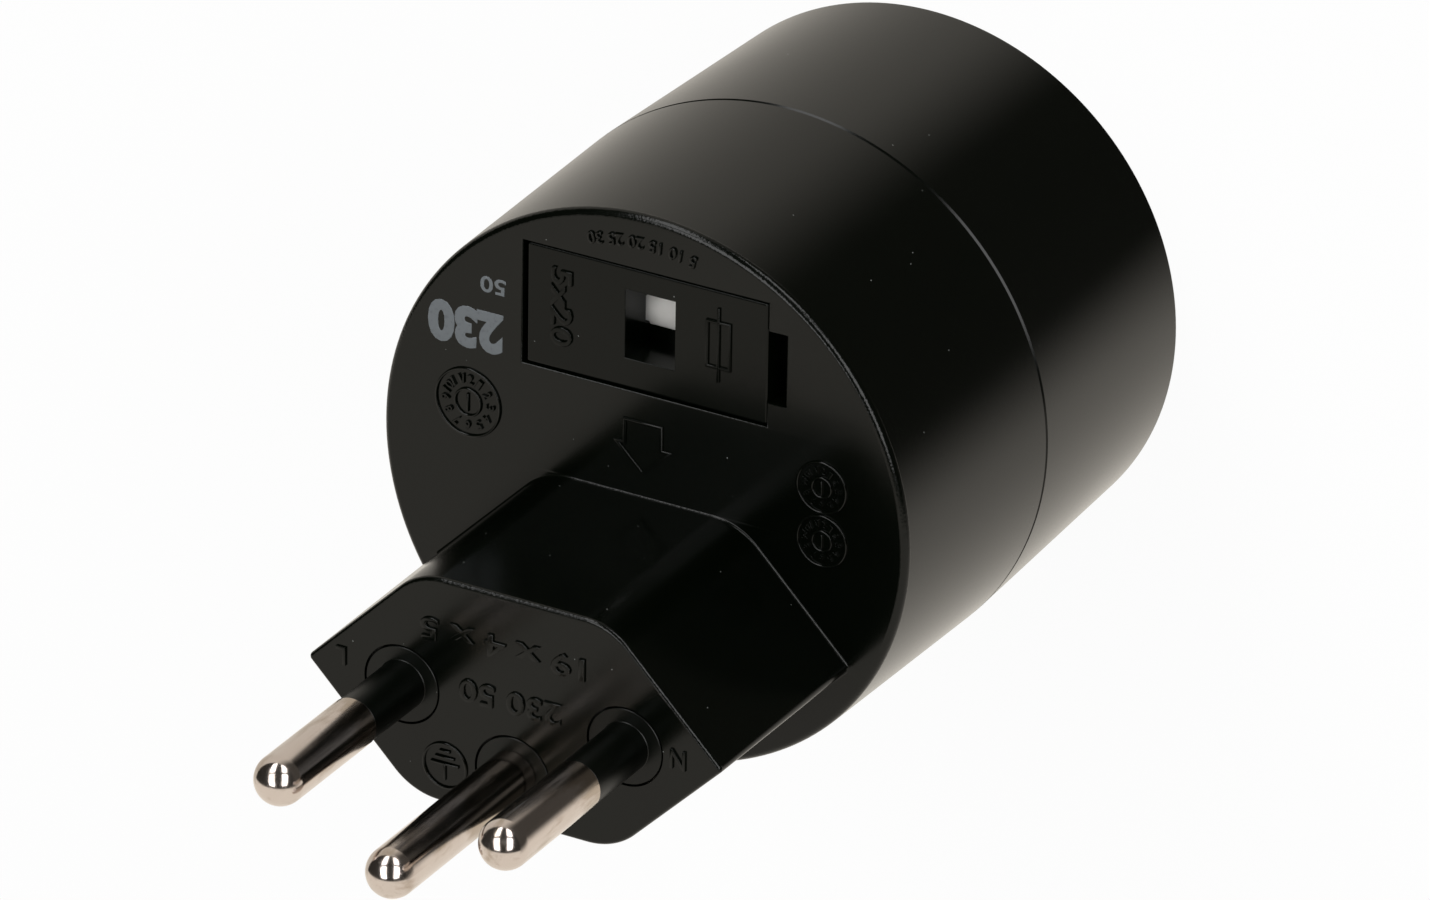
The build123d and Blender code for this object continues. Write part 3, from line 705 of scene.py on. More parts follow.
pocket_profile = arc((POCKET_EDGE, PLATE - POCKET_EDGE), POCKET_EDGE, 90, 180, steps=4)
pocket_profile += [(0, NOTCH_FLOOR)]
boss_profile = [(BOSS_RADIUS, PLATE_BACK), (BOSS_RADIUS, BOSS_BOTTOM), (SCREW_HOLE, BOSS_BOTTOM)]
boss_profile += [(SCREW_HOLE, SCREW_HOLE_TOP), (0, SCREW_HOLE_TOP)]
pin_hole_profile = [(BUSH_HOLE, NOSE), (BUSH_HOLE, NOSE - BUSH_DEPTH)]
pin_hole_profile += [(BUSH_STEP, NOSE - BUSH_DEPTH), (BUSH_STEP, NOSE_BACK)]
print("draft at the foot", round(foot_draft, 3), "rounding ends at", round(rounding_radius, 2))

# %% [markdown]
# The skin is closed all round, inside and out. The walls are sweeps, the flat faces are filled between
# the loops where the sweeps end, and both use the same points, so nothing gapes. Inside, a solid block
# surrounds the pocket: it ends at a straight wall whose ends lie on the shell's round inside.

# %% Skin of the front shell
BLOCK_WALL = 1.2
BELOW_POINTS = 150
ABOVE_POINTS = 44

axis = circle()
block_start = math.asin((pocket_corners[0][1] - BLOCK_WALL) / inside_plate)
turn_below = np.linspace(math.pi - block_start, 2 * math.pi + block_start, BELOW_POINTS)
turn_above = np.linspace(block_start, math.pi - block_start, ABOVE_POINTS)
below = inside_plate * np.column_stack([np.cos(turn_below), np.sin(turn_below)])
above = inside_plate * np.column_stack([np.cos(turn_above), np.sin(turn_above)])
inside_loop = np.vstack([below, above[1:-1]])
inside_round = (np.zeros_like(inside_loop), inside_loop / inside_plate)
block_below = (below, np.zeros_like(below))
plate_loops = [moved(axis, rounding_radius), moved(foot, foot_profile[0][0]), moved(opening, POCKET_EDGE)]
nose_loops = [moved(foot, -NOSE_EDGE), *[round_loop(BUSH_HOLE, place) for place in PIN_PLACES]]
nose_back_loops = [inner_foot[0], *[round_loop(BUSH_STEP, place) for place in PIN_PLACES]]

front_sheets = [
    sweep(axis, wall_profile),
    fill(plate_loops, PLATE),
    sweep(foot, plug_profile),
    fill(nose_loops, NOSE),
    sweep(opening, pocket_profile),
    fill([notch], NOTCH_FLOOR),
    sweep(pocket, [(0, NOTCH_FLOOR), (0, CHAMBER_BOTTOM)]),
    sweep(inside_round, [(inside_seam, SEAM), (inside_plate, CHAMBER_BOTTOM)]),
    sweep(block_below, [(0, CHAMBER_BOTTOM), (0, PLATE_BACK)]),
    fill([above, pocket[0]], CHAMBER_BOTTOM),
    fill([below, inner_foot[0], round_loop(BOSS_RADIUS)], PLATE_BACK),
    sweep(inner_foot, [(0, PLATE_BACK), (0, NOSE_BACK)]),
    fill(nose_back_loops, NOSE_BACK),
    spin(boss_profile),
    *[spin(pin_hole_profile, place) for place in PIN_PLACES],
    # The ring that closes the wall at the seam
    fill([moved(axis, SEAM_RADIUS - SEAM_CHAMFER), moved(inside_round, inside_seam)], SEAM),
]
piece("front_shell", front_sheets, front_plastic, "adapter", ["front_housing"])

# %% [markdown]
# The rear shell is the socket: a deep round well with a floor. Its two guide keys are part of the wall,
# so the wall is one grid whose radius depends on the angle and the depth: a column of points that lies
# on a key moves inwards as the key's slope rises, and all other columns stay on the circle. The points
# at a key's two edges are doubled: one rises with the key, and its twin stays on the wall.

# %% Wall of the well
WELL_WALL = 2.3
WELL_RADIUS = RIM_RADIUS - WELL_WALL
WELL_DEPTH = 17.5
WELL_CHAMFER = 0.5
KEY_HALF = 2.3
KEY_DEPTH = 2.0
KEY_START = 3.0
KEY_POINTS = 9
GAP_POINTS = 79

key_turn = math.asin(KEY_HALF / WELL_RADIUS)
over_key = np.linspace(-key_turn, key_turn, KEY_POINTS)
between_keys = np.linspace(key_turn, math.pi - key_turn, GAP_POINTS, endpoint=False)
half_turn = np.concatenate([[-key_turn], over_key, between_keys])
half_raised = np.concatenate([[False], np.full(KEY_POINTS, True), np.full(GAP_POINTS, False)])
well_angle = np.concatenate([half_turn, half_turn + math.pi])
raised = np.tile(half_raised, 2)


def well_row(depth, rise):
    """One ring of the well wall. A raised point's x = circle's x + rise * (key's flat face - that)."""
    ring = WELL_RADIUS * np.column_stack([np.cos(well_angle), np.sin(well_angle)])
    flat_x = np.sign(ring[:, 0]) * (WELL_RADIUS - KEY_DEPTH)
    ring[:, 0] += raised * rise * (flat_x - ring[:, 0])
    return np.column_stack([ring, np.full(len(ring), depth)])


well_rows = [(WELL_CHAMFER, 0), (KEY_START, 0), (KEY_START + KEY_DEPTH, 1), (WELL_DEPTH, 1)]
well_grid = np.stack([well_row(depth, rise) for depth, rise in well_rows])
well_sheet = (well_grid.reshape(-1, 3), grid_faces(len(well_rows), len(well_angle)))
well_mouth = well_grid[0][:, :2]
mouth_round = (np.zeros_like(well_mouth), well_mouth / WELL_RADIUS)
print("well", round(2 * WELL_RADIUS, 2), "wide, on keys", np.count_nonzero(raised), "of", len(raised))

# %% [markdown]
# The rest of the rear shell is again sweeps and fills: the outside from the rounded rim up to the
# seam, the spigot that enters the front shell, and a floor with two round holes for the pins, two
# slots for the earth strip and a countersunk seat for the screw.

# %% Skin of the rear shell
RIM_ROUNDING = 0.25
FLOOR_THICKNESS = 2.3
FLOOR_BACK = WELL_DEPTH + FLOOR_THICKNESS
SPIGOT_GAP = 0.1
SPIGOT_WALL = 1.3
SPIGOT_OUT = inside_seam - SPIGOT_GAP
SPIGOT_IN = SPIGOT_OUT - SPIGOT_WALL
SOCKET_HOLE = 2.75
HOLE_EDGE = 0.3
SLOT_LENGTH = 6.5
SLOT_NEAR = 17.15
SLOT_FAR = 19.2
SCREW_SEAT = 3.1
SCREW_WAY = 1.8

rim_slope = math.atan((SEAM_RADIUS - RIM_RADIUS) / SEAM)
wall_at_rim = RIM_RADIUS + RIM_ROUNDING * math.tan(rim_slope)
rim_centre = (wall_at_rim - RIM_ROUNDING / math.cos(rim_slope), RIM_ROUNDING)
rear_profile = arc(rim_centre, RIM_ROUNDING, 270, 360 - math.degrees(rim_slope), steps=10)
rear_profile += [(SEAM_RADIUS, SEAM - SEAM_CHAMFER), (SEAM_RADIUS - SEAM_CHAMFER, SEAM)]
rear_profile += [(SPIGOT_OUT, SEAM), (SPIGOT_OUT, SEAM + SPIGOT_HEIGHT)]
rear_profile += [(SPIGOT_IN, SEAM + SPIGOT_HEIGHT), (SPIGOT_IN, FLOOR_BACK)]
hole_profile = [(SOCKET_HOLE + HOLE_EDGE, WELL_DEPTH), (SOCKET_HOLE, WELL_DEPTH + HOLE_EDGE)]
hole_profile += [(SOCKET_HOLE, FLOOR_BACK)]
seat_profile = [(SCREW_SEAT, WELL_DEPTH), (SCREW_WAY, WELL_DEPTH + SCREW_SEAT - SCREW_WAY)]
seat_profile += [(SCREW_WAY, FLOOR_BACK)]

hole_places = [(side * LIVE_X, 0) for side in (-1, 1)]
slot_places = [(0, side * (SLOT_NEAR + SLOT_FAR) / 2) for side in (-1, 1)]
slots = [sharp_outline(rectangle(SLOT_LENGTH, SLOT_FAR - SLOT_NEAR, place)) for place in slot_places]
slot_loops = [slot[0] for slot in slots]
floor_loops = [well_grid[-1][:, :2], round_loop(SCREW_SEAT)]
floor_loops += [round_loop(SOCKET_HOLE + HOLE_EDGE, place) for place in hole_places] + slot_loops
back_loops = [moved(axis, SPIGOT_IN), round_loop(SCREW_WAY)]
back_loops += [round_loop(SOCKET_HOLE, place) for place in hole_places] + slot_loops

rear_sheets = [
    sweep(axis, rear_profile),
    well_sheet,
    sweep(mouth_round, [(WELL_RADIUS, WELL_CHAMFER), (WELL_RADIUS + WELL_CHAMFER, 0)]),
    fill([moved(axis, rim_centre[0]), moved(mouth_round, WELL_RADIUS + WELL_CHAMFER)], 0),
    fill(floor_loops, WELL_DEPTH),
    fill(back_loops, FLOOR_BACK),
    spin(seat_profile),
    *[spin(hole_profile, place) for place in hole_places],
    *[sweep(slot, [(0, WELL_DEPTH), (0, FLOOR_BACK)]) for slot in slots],
]
piece("rear_shell", rear_sheets, shell_plastic, "adapter", ["rear_housing"])

# %% [markdown]
# The pins are turned parts, so each is one profile swept round its own axis. The live pins have a
# plastic sleeve whose foot is a flush disc in the nose of the plug. The hair-thin gap round that disc
# is what shows as a dark ring on the real adapter.

# %% Pins and sleeves
PIN_RADIUS = 2.0
PIN_CORE = 1.5
PIN_HEAD = 2.6
HEAD_THICKNESS = 1.2
HEAD_BOTTOM = NOSE_BACK - HEAD_THICKNESS
TAIL_RADIUS = 1.75
TAIL_HEIGHT = 0.7
TAIL_BOTTOM = pin_low.z / MM
TAIL_TOP = TAIL_BOTTOM + TAIL_HEIGHT
COLLAR_EDGE = 0.06
SLEEVE_RADIUS = 1.97
SLEEVE_FOOT = 0.05
SLEEVE_TAPER = 0.03
SLEEVE_END = 0.05
BUSH_RADIUS = 3.07
BUSH_NECK = 2.65
EARTH_NECK = 1.8
DISC_EDGE = 0.04

tail_profile = [(0, TAIL_BOTTOM), (TAIL_RADIUS, TAIL_BOTTOM)]
tail_profile += [(TAIL_RADIUS, TAIL_TOP), (PIN_CORE, TAIL_TOP)]
tip_profile = arc((0, PIN_TIP - PIN_RADIUS), PIN_RADIUS, 0, 90, steps=28)
live_profile = tail_profile + [(PIN_CORE, HEAD_BOTTOM), (PIN_HEAD, HEAD_BOTTOM), (PIN_HEAD, NOSE_BACK)]
live_profile += [(PIN_CORE, NOSE_BACK), (PIN_CORE, SLEEVE_TOP), (PIN_RADIUS - COLLAR_EDGE, SLEEVE_TOP)]
live_profile += [(PIN_RADIUS, SLEEVE_TOP + COLLAR_EDGE)] + tip_profile
earth_profile = tail_profile + [(PIN_CORE, NOSE_BACK), (EARTH_NECK, NOSE_BACK), (EARTH_NECK, NOSE)]
earth_profile += [(PIN_RADIUS - COLLAR_EDGE, NOSE), (PIN_RADIUS, NOSE + COLLAR_EDGE)] + tip_profile

disc_profile = [(BUSH_NECK, NOSE_BACK), (BUSH_NECK, NOSE - BUSH_DEPTH), (BUSH_RADIUS, NOSE - BUSH_DEPTH)]
disc_profile += [(BUSH_RADIUS, NOSE - DISC_EDGE), (BUSH_RADIUS - DISC_EDGE, NOSE)]
sleeve_end = SLEEVE_RADIUS - SLEEVE_TAPER
sleeve_profile = [(PIN_CORE, NOSE_BACK)] + disc_profile
sleeve_profile += [(SLEEVE_RADIUS + SLEEVE_FOOT, NOSE), (SLEEVE_RADIUS, NOSE + SLEEVE_FOOT)]
sleeve_profile += [(sleeve_end, SLEEVE_TOP - SLEEVE_END), (sleeve_end - SLEEVE_END, SLEEVE_TOP)]
sleeve_profile += [(PIN_CORE, SLEEVE_TOP), (PIN_CORE, NOSE_BACK)]
bush_profile = [(EARTH_NECK, NOSE_BACK)] + disc_profile + [(EARTH_NECK, NOSE), (EARTH_NECK, NOSE_BACK)]

for name, place in (("line", PIN_PLACES[0]), ("neutral", PIN_PLACES[1])):
    pin = [spin(live_profile, place, PIN_POINTS)]
    sleeve = [spin(sleeve_profile, place, PIN_POINTS)]
    piece(f"{name}_pin_turned", pin, nickel, "adapter", [f"{name}_pin"])
    piece(f"{name}_sleeve", sleeve, sleeve_plastic, "adapter", [f"{name}_pin_sleeve"])
pin = [spin(earth_profile, PIN_PLACES[2], PIN_POINTS)]
bush = [spin(bush_profile, PIN_PLACES[2], PIN_POINTS)]
piece("earth_pin_turned", pin, nickel, "adapter", ["earth_pin"])
piece("earth_bush", bush, sleeve_plastic, "adapter", ["earth_pin_bush"])

# %% [markdown]
# The fuse holder is a small lid with a window. The lid is again sweeps and fills, with a hollow below
# on each side of the window, as a moulding of even thickness has.

# %% Lid of the fuse holder
LID_THICKNESS = 3.1
ROOF_THICKNESS = 1.4
LID_TOP = holder_high.z / MM
LID_BOTTOM = LID_TOP - LID_THICKNESS
LID_ROOF = LID_TOP - ROOF_THICKNESS
LID_EDGE = 0.18
LID_CORNER = 0.22
LID_WALL = 1.1
WINDOW = (4.25, 5.65)
WINDOW_CENTRE = (0.4, 13.2)
WINDOW_WALL = 0.9
WINDOW_EDGE = 0.06

lid = round_outline(rectangle(HOLDER_LENGTH, HOLDER_WIDTH, HOLDER_CENTRE), LID_CORNER, steps=6)
window = sharp_outline(rectangle(*WINDOW, WINDOW_CENTRE))
lid_profile = [(0, LID_BOTTOM)] + arc((-LID_EDGE, LID_TOP - LID_EDGE), LID_EDGE, 0, 90, steps=6)
window_profile = arc((WINDOW_EDGE, LID_TOP - WINDOW_EDGE), WINDOW_EDGE, 90, 180, steps=4)
window_profile += [(0, LID_BOTTOM)]

hollow_left = HOLDER_CENTRE[0] - HOLDER_LENGTH / 2 + LID_WALL
hollow_right = HOLDER_CENTRE[0] + HOLDER_LENGTH / 2 - LID_WALL
window_start = WINDOW_CENTRE[0] - WINDOW[0] / 2
window_stop = WINDOW_CENTRE[0] + WINDOW[0] / 2
spans = ((hollow_left, window_start - WINDOW_WALL), (window_stop + WINDOW_WALL, hollow_right))
hollow_width = HOLDER_WIDTH - 2 * LID_WALL
hollows = [
    sharp_outline(rectangle(stop - start, hollow_width, ((start + stop) / 2, HOLDER_CENTRE[1])))
    for start, stop in spans
]
lid_sheets = [
    sweep(lid, lid_profile),
    fill([moved(lid, -LID_EDGE), moved(window, WINDOW_EDGE)], LID_TOP),
    sweep(window, window_profile),
    fill([lid[0], window[0], *[hollow[0] for hollow in hollows]], LID_BOTTOM),
]
for hollow in hollows:
    lid_sheets.append(sweep(hollow, [(0, LID_BOTTOM), (0, LID_ROOF)]))
    lid_sheets.append(fill([hollow[0]], LID_ROOF))
print("window from", round(window_start, 3), "to", round(window_stop, 3))

# %% [markdown]
# Below the lid two cheeks hold the fuse, so that it comes out with the lid. A cheek is a section that
# is drawn in the plane across the fuse and carried along it. Under the window the section is lower, so
# that the tube shows. The three lengths overlap by a hair, because faces in one plane would flicker.

# %% Cheeks of the fuse holder
FUSE_Y = 13.0
FUSE_Z = (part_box("fuse_tube")[0].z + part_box("fuse_tube")[1].z) / 2 / MM
TUBE_RADIUS = 2.4
CHEEK_HALF_LENGTH = 4.5
CHEEK_GAP = 0.05
CHEEK_WALL = 0.9
CHEEK_DROP = 1.3
LIP_REACH = 1.15
LIP_RISE = 2.16
SILL_DROP = 0.8
JOIN = 0.03


def carried(section, start, stop):
    """A closed section across the fuse, as (y, z) points, carried along X from start to stop."""
    y, z = np.array(section).T
    ends = [np.column_stack([np.full(len(y), x), y, z]) for x in (start, stop)]
    cap = [list(t) for t in tessellate_polygon([ends[0].tolist()])]
    far_cap = [[i + len(y) for i in face] for face in cap]
    return np.vstack(ends), grid_faces(2, len(y)) + cap + far_cap


def cheek_section(side, top, sill, sill_edge):
    """A cheek hugs the tube from below up to the sill's level, and rises to the top beyond its edge."""
    reach = TUBE_RADIUS + CHEEK_GAP
    lowest = math.degrees(math.asin(CHEEK_DROP / reach))
    highest = math.degrees(math.asin((sill - FUSE_Z) / reach))
    hug = arc((0, FUSE_Z), reach, -lowest, highest, steps=18)
    outside = [(reach + CHEEK_WALL, top), (reach + CHEEK_WALL, FUSE_Z - CHEEK_DROP)]
    section = [*outside, *hug, (sill_edge, sill), (sill_edge, top)]
    return [(FUSE_Y + side * y, z) for y, z in section]


for side in (-1, 1):
    window_side = side * (WINDOW_CENTRE[1] - FUSE_Y) + WINDOW[1] / 2
    closed = cheek_section(side, LID_ROOF + JOIN, FUSE_Z + LIP_RISE, LIP_REACH)
    open_part = cheek_section(side, LID_BOTTOM + JOIN, LID_BOTTOM - SILL_DROP, window_side)
    lid_sheets.append(carried(closed, -CHEEK_HALF_LENGTH, window_start - JOIN))
    lid_sheets.append(carried(open_part, window_start - 2 * JOIN, window_stop + 2 * JOIN))
    lid_sheets.append(carried(closed, window_stop + JOIN, CHEEK_HALF_LENGTH))
piece("fuse_lid", lid_sheets, lid_plastic, "holder", ["fuse_holder"])

# %% [markdown]
# The fuse is a ceramic tube with a nickel cap on each end. It is turned about its own length, so it is
# spun upright like the pins and then laid down along the holder.

# %% Fuse
CAP_RADIUS = 2.6
CAP_LENGTH = 5.0
CAP_SKIN = 0.3
CAP_EDGE = 0.25
CAP_LIP = 0.05
FUSE_HALF = 10.0
TUBE_BORE = 1.6


def lying(profile):
    """Spins a profile and lays it along the fuse: its height becomes X."""
    points, faces = spin(profile, count=PIN_POINTS)
    return np.column_stack([points[:, 2], FUSE_Y + points[:, 0], FUSE_Z + points[:, 1]]), faces


tube_half = FUSE_HALF - CAP_SKIN
tube_profile = [(TUBE_BORE, -tube_half), (TUBE_RADIUS, -tube_half), (TUBE_RADIUS, tube_half)]
tube_profile += [(TUBE_BORE, tube_half), (TUBE_BORE, -tube_half)]
piece("fuse_ceramic", [lying(tube_profile)], ceramic, "holder", ["fuse_tube"])

rim = FUSE_HALF - CAP_LENGTH
cap_profile = [(0, tube_half), (TUBE_RADIUS, tube_half), (TUBE_RADIUS, rim)]
cap_profile += [(CAP_RADIUS - CAP_LIP, rim), (CAP_RADIUS, rim + CAP_LIP)]
cap_profile += arc((CAP_RADIUS - CAP_EDGE, FUSE_HALF - CAP_EDGE), CAP_EDGE, 0, 90, steps=6)
cap_profile += [(0, FUSE_HALF)]
for name, side in (("line", -1), ("load", 1)):
    cap = [(radius, side * height) for radius, height in cap_profile]
    piece(f"{name}_cap", [lying(cap)], nickel, "holder", [f"{name}_fuse_cap"])

# %% [markdown]
# The sprung earth strip shows from behind, down both sides of the well. It is a thin band whose centre
# line is a smooth curve, so its two faces are that line moved by half the metal each way.

# %% Earth strip
EARTH_METAL = 0.8
EARTH_HALF_WIDTH = 3.0
EARTH_EDGE = 0.12
ARM_GAP = 0.95
ARM_Y = WELL_RADIUS - ARM_GAP
ARM_TIP = 4.0
ARM_TIP_LEAN = 0.2
ARM_BULGE = 1.7
ARM_BULGE_LENGTH = 2.5
ARM_RETURN = 4.5
ARM_BEND = 1.0


def soft_path(corners, radius, steps=8):
    """An open path whose inner corners are arcs. Each arc touches both of its runs."""
    corners = np.asarray(corners, float)
    radii = np.full(len(corners) - 2, radius)
    arcs, _ = corner_arcs(corners[:-2], corners[1:-1], corners[2:], radii, steps)
    return np.vstack([corners[:1], arcs, corners[-1:]])


def band(path, metal, half_width, edge):
    """A strip of metal along a path in the YZ plane: path point + normal * height, at x = across, for
    the eight corners of a section whose edges are cut off by the given amount."""
    along = unit(np.gradient(path, axis=0))
    normal = np.column_stack([-along[:, 1], along[:, 0]])
    across = np.array([1, 1, 1, 1, -1, -1, -1, -1]) * half_width
    across -= np.sign(across) * edge * np.array([1, 0, 0, 1, 1, 0, 0, 1])
    height = metal / 2 * np.array([-1, -1, 1, 1, 1, 1, -1, -1])
    height -= np.sign(height) * edge * np.array([0, 1, 1, 0, 0, 1, 1, 0])
    points = path[:, None] + normal[:, None] * height[None, :, None]
    sides = len(across)
    x = np.broadcast_to(across[None, :, None], (len(path), sides, 1))
    grid = np.concatenate([x, points], axis=2)
    last = sides * (len(path) - 1)
    ends = [list(range(sides)), [last + i for i in range(sides)]]
    return grid.reshape(-1, 3), grid_faces(len(path), sides) + ends


arm_middle = (ARM_TIP + WELL_DEPTH) / 2
arm = [
    (ARM_Y - ARM_TIP_LEAN, ARM_TIP),
    (ARM_Y - ARM_BULGE, arm_middle - ARM_BULGE_LENGTH),
    (ARM_Y - ARM_BULGE, arm_middle),
    (ARM_Y, arm_middle + ARM_RETURN),
    (ARM_Y, FLOOR_BACK + EARTH_METAL / 2),
]
strip_path = soft_path(arm + [(-y, z) for y, z in reversed(arm)], ARM_BEND)
strip = [band(strip_path, EARTH_METAL, EARTH_HALF_WIDTH, EARTH_EDGE)]
piece("earth_spring", strip, spring, "adapter", ["earth_bracket"])

# %% [markdown]
# The housing screw sits in the middle of the socket's floor. Its thread is hidden in the boss, so a
# plain shank does. The cross in its head is a recess in the shape of a plus sign: three corners of one
# arm, turned four times, with walls that lean in a little.

# %% Housing screw
SCREW_HEAD = 2.8
SCREW_RADIUS = 1.45
SCREW_SINK = 0.2
SCREW_LENGTH = 16.0
SCREW_TOP = WELL_DEPTH + SCREW_SINK
SCREW_END = SCREW_TOP + SCREW_LENGTH
HEAD_EDGE = (0.1, 0.08)
POINT_LENGTH = 1.0
POINT_TAPER = 0.6
CROSS_REACH = 1.68
CROSS_HALF = 0.35
CROSS_DEPTH = 0.7
CROSS_LEAN = 0.08

cross_corners = []
for turn in range(4):
    c, s = round(math.cos(turn * math.pi / 2)), round(math.sin(turn * math.pi / 2))
    arm_points = [(CROSS_HALF, -CROSS_HALF), (CROSS_REACH, -CROSS_HALF), (CROSS_REACH, CROSS_HALF)]
    cross_corners += [(x * c - y * s, x * s + y * c) for x, y in arm_points]
cross = sharp_outline(cross_corners)
head_top = SCREW_HEAD - HEAD_EDGE[0]
head_side = SCREW_TOP + HEAD_EDGE[1]
screw_profile = [(head_top, SCREW_TOP), (SCREW_HEAD, head_side)]
screw_profile += [(SCREW_RADIUS, head_side + SCREW_HEAD - SCREW_RADIUS)]
screw_profile += [(SCREW_RADIUS, SCREW_END - POINT_LENGTH), (SCREW_RADIUS - POINT_TAPER, SCREW_END)]
screw_profile += [(0, SCREW_END)]
screw_sheets = [
    spin(screw_profile),
    fill([round_loop(head_top), cross[0]], SCREW_TOP),
    sweep(cross, [(0, SCREW_TOP), (-CROSS_LEAN, SCREW_TOP + CROSS_DEPTH)]),
    fill([moved(cross, -CROSS_LEAN)], SCREW_TOP + CROSS_DEPTH),
]
piece("screw", screw_sheets, zinc, "adapter", ["housing_screw"])

# %% [markdown]
# The marks stand a little proud of the plastic, in the same black, because they are cut into the mould.
# Letters come from Blender's own font: a text object with a small bevel is made a mesh, fitted to its
# width and height in millimetres, turned and put in place. Signs are flat outlines with rounded edges.

# %% Raised marks
MARK_RISE = 0.18
MARK_SINK = 0.05
MARK_EDGE = 0.08
LETTER_SIZE = 10
LETTER_BEVEL = 0.2
LETTER_BEVEL_STEPS = 2
LETTER_CURVE_STEPS = 4


def lettering(text, length, height, centre, turn, level, bold=0.0, rise=MARK_RISE):
    """Letters as a sheet: fitted to a length and height, turned by degrees about their centre."""
    curve = bpy.data.curves.new("letters", "FONT")
    curve.body = text
    curve.size = LETTER_SIZE
    curve.offset = bold
    curve.extrude = LETTER_BEVEL
    curve.bevel_depth = LETTER_BEVEL
    curve.bevel_resolution = LETTER_BEVEL_STEPS
    curve.resolution_u = LETTER_CURVE_STEPS
    written = linked("letters", curve)
    mesh = bpy.data.meshes.new_from_object(written.evaluated_get(bpy.context.evaluated_depsgraph_get()))
    points = np.zeros(3 * len(mesh.vertices))
    mesh.vertices.foreach_get("co", points)
    points = points.reshape(-1, 3)
    faces = [list(face.vertices) for face in mesh.polygons]
    bpy.data.objects.remove(written)
    bpy.data.meshes.remove(mesh)
    low, high = points.min(axis=0), points.max(axis=0)
    size = np.array([length, height, rise + MARK_SINK])
    points = (points - (low + high) / 2) / (high - low) * size
    c, s = math.cos(math.radians(turn)), math.sin(math.radians(turn))
    x = centre[0] + c * points[:, 0] - s * points[:, 1]
    y = centre[1] + s * points[:, 0] + c * points[:, 1]
    return np.column_stack([x, y, level + (rise - MARK_SINK) / 2 + points[:, 2]]), faces


def relief(outer, holes=(), level=0.0):
    """Sheets of a raised shape with a flat top and rounded edges. Holes are outlines that point
    outwards too, so their rounding has the other sign."""
    bottom, top = level - MARK_SINK, level + MARK_RISE
    rounded = [(0, bottom)] + arc((-MARK_EDGE, top - MARK_EDGE), MARK_EDGE, 0, 90, steps=4)
    sheets = [sweep(outer, rounded)]
    sheets += [sweep(hole, [(-offset, height) for offset, height in rounded]) for hole in holes]
    sheets.append(fill([moved(outer, -MARK_EDGE), *[moved(hole, MARK_EDGE) for hole in holes]], top))
    sheets.append(fill([outer[0], *[hole[0] for hole in holes]], bottom))
    return sheets


def bar(start, stop, width, level):
    """A raised straight line between two points."""
    start, stop = np.asarray(start, float), np.asarray(stop, float)
    along = (stop - start) / np.linalg.norm(stop - start)
    side = np.array([-along[1], along[0]]) * width / 2
    return relief(sharp_outline([start - side, stop - side, stop + side, start + side]), level=level)


def ring(radius, width, centre, level):
    """A raised ring."""
    outer, inner = (circle(size, centre, HOLE_POINTS) for size in (radius, radius - width))
    return relief(outer, [inner], level)


print("marks stand", MARK_RISE, "mm proud")

# %% [markdown]
# The lid says which fuse it takes, by its size of 5 by 20 mm, beside the sign for a fuse: a box with a
# line through it.

# %% Marks on the lid
STROKE = 0.24
SYMBOL_SIZE = (1.9, 3.7)
SYMBOL_CENTRE = (6.25, 13.45)
SYMBOL_LINE = (10.4, 16.5)
LID_NUMBER = "5x20"
LID_NUMBER_SIZE = (6.45, 1.85)
LID_NUMBER_CENTRE = (-7.09, 13.2)


def symbol_box(extra):
    """The box of the fuse sign, grown by an amount."""
    return sharp_outline(rectangle(SYMBOL_SIZE[0] + extra, SYMBOL_SIZE[1] + extra, SYMBOL_CENTRE))


lid_marks = [lettering(LID_NUMBER, *LID_NUMBER_SIZE, LID_NUMBER_CENTRE, -90, LID_TOP)]
lid_marks += relief(symbol_box(STROKE), [symbol_box(-STROKE)], LID_TOP)
lid_marks += bar(*[(SYMBOL_CENTRE[0], y) for y in SYMBOL_LINE], STROKE, LID_TOP)
piece("lid_marks", lid_marks, lid_plastic, "holder")

# %% [markdown]
# The plate carries an arrow between the lid and the plug, three mould dials with the numbers 1 to 12,
# and a row of numbers along the rim. That row is written straight and then bent: its X becomes an
# angle and its Y a radius.

# %% Marks on the plate
ARROW_X = 0.04
ARROW_HALF_SHAFT = 1.7
ARROW_HALF_HEAD = 2.55
ARROW_TOP = 5.6
ARROW_NECK = 3.65
ARROW_TIP = 1.2
ARROW_LINE = 0.24


def arrow_corners(inset):
    """A block arrow that points down, with all sides set in by an amount."""
    shaft = [(ARROW_HALF_SHAFT, ARROW_NECK), (ARROW_HALF_SHAFT, ARROW_TOP)]
    right_half = [(ARROW_HALF_HEAD, ARROW_NECK), *shaft]
    left_half = [(-x, y) for x, y in reversed(right_half)]
    corners = [(0, ARROW_TIP), *right_half, *left_half]
    points, outward = sharp_outline([(x + ARROW_X, y) for x, y in corners])
    return points - inset * outward, outward


DIALS = [((-15.0, 3.35), 2.85), ((15.2, 4.1), 2.15), ((15.3, -0.3), 2.15)]
DIAL_LINE = 0.2
DIAL_HUB = 0.42
DIAL_POINTER = 0.62
DIAL_DIGIT = (0.16, 0.27)
DIAL_NUMBERS = 12


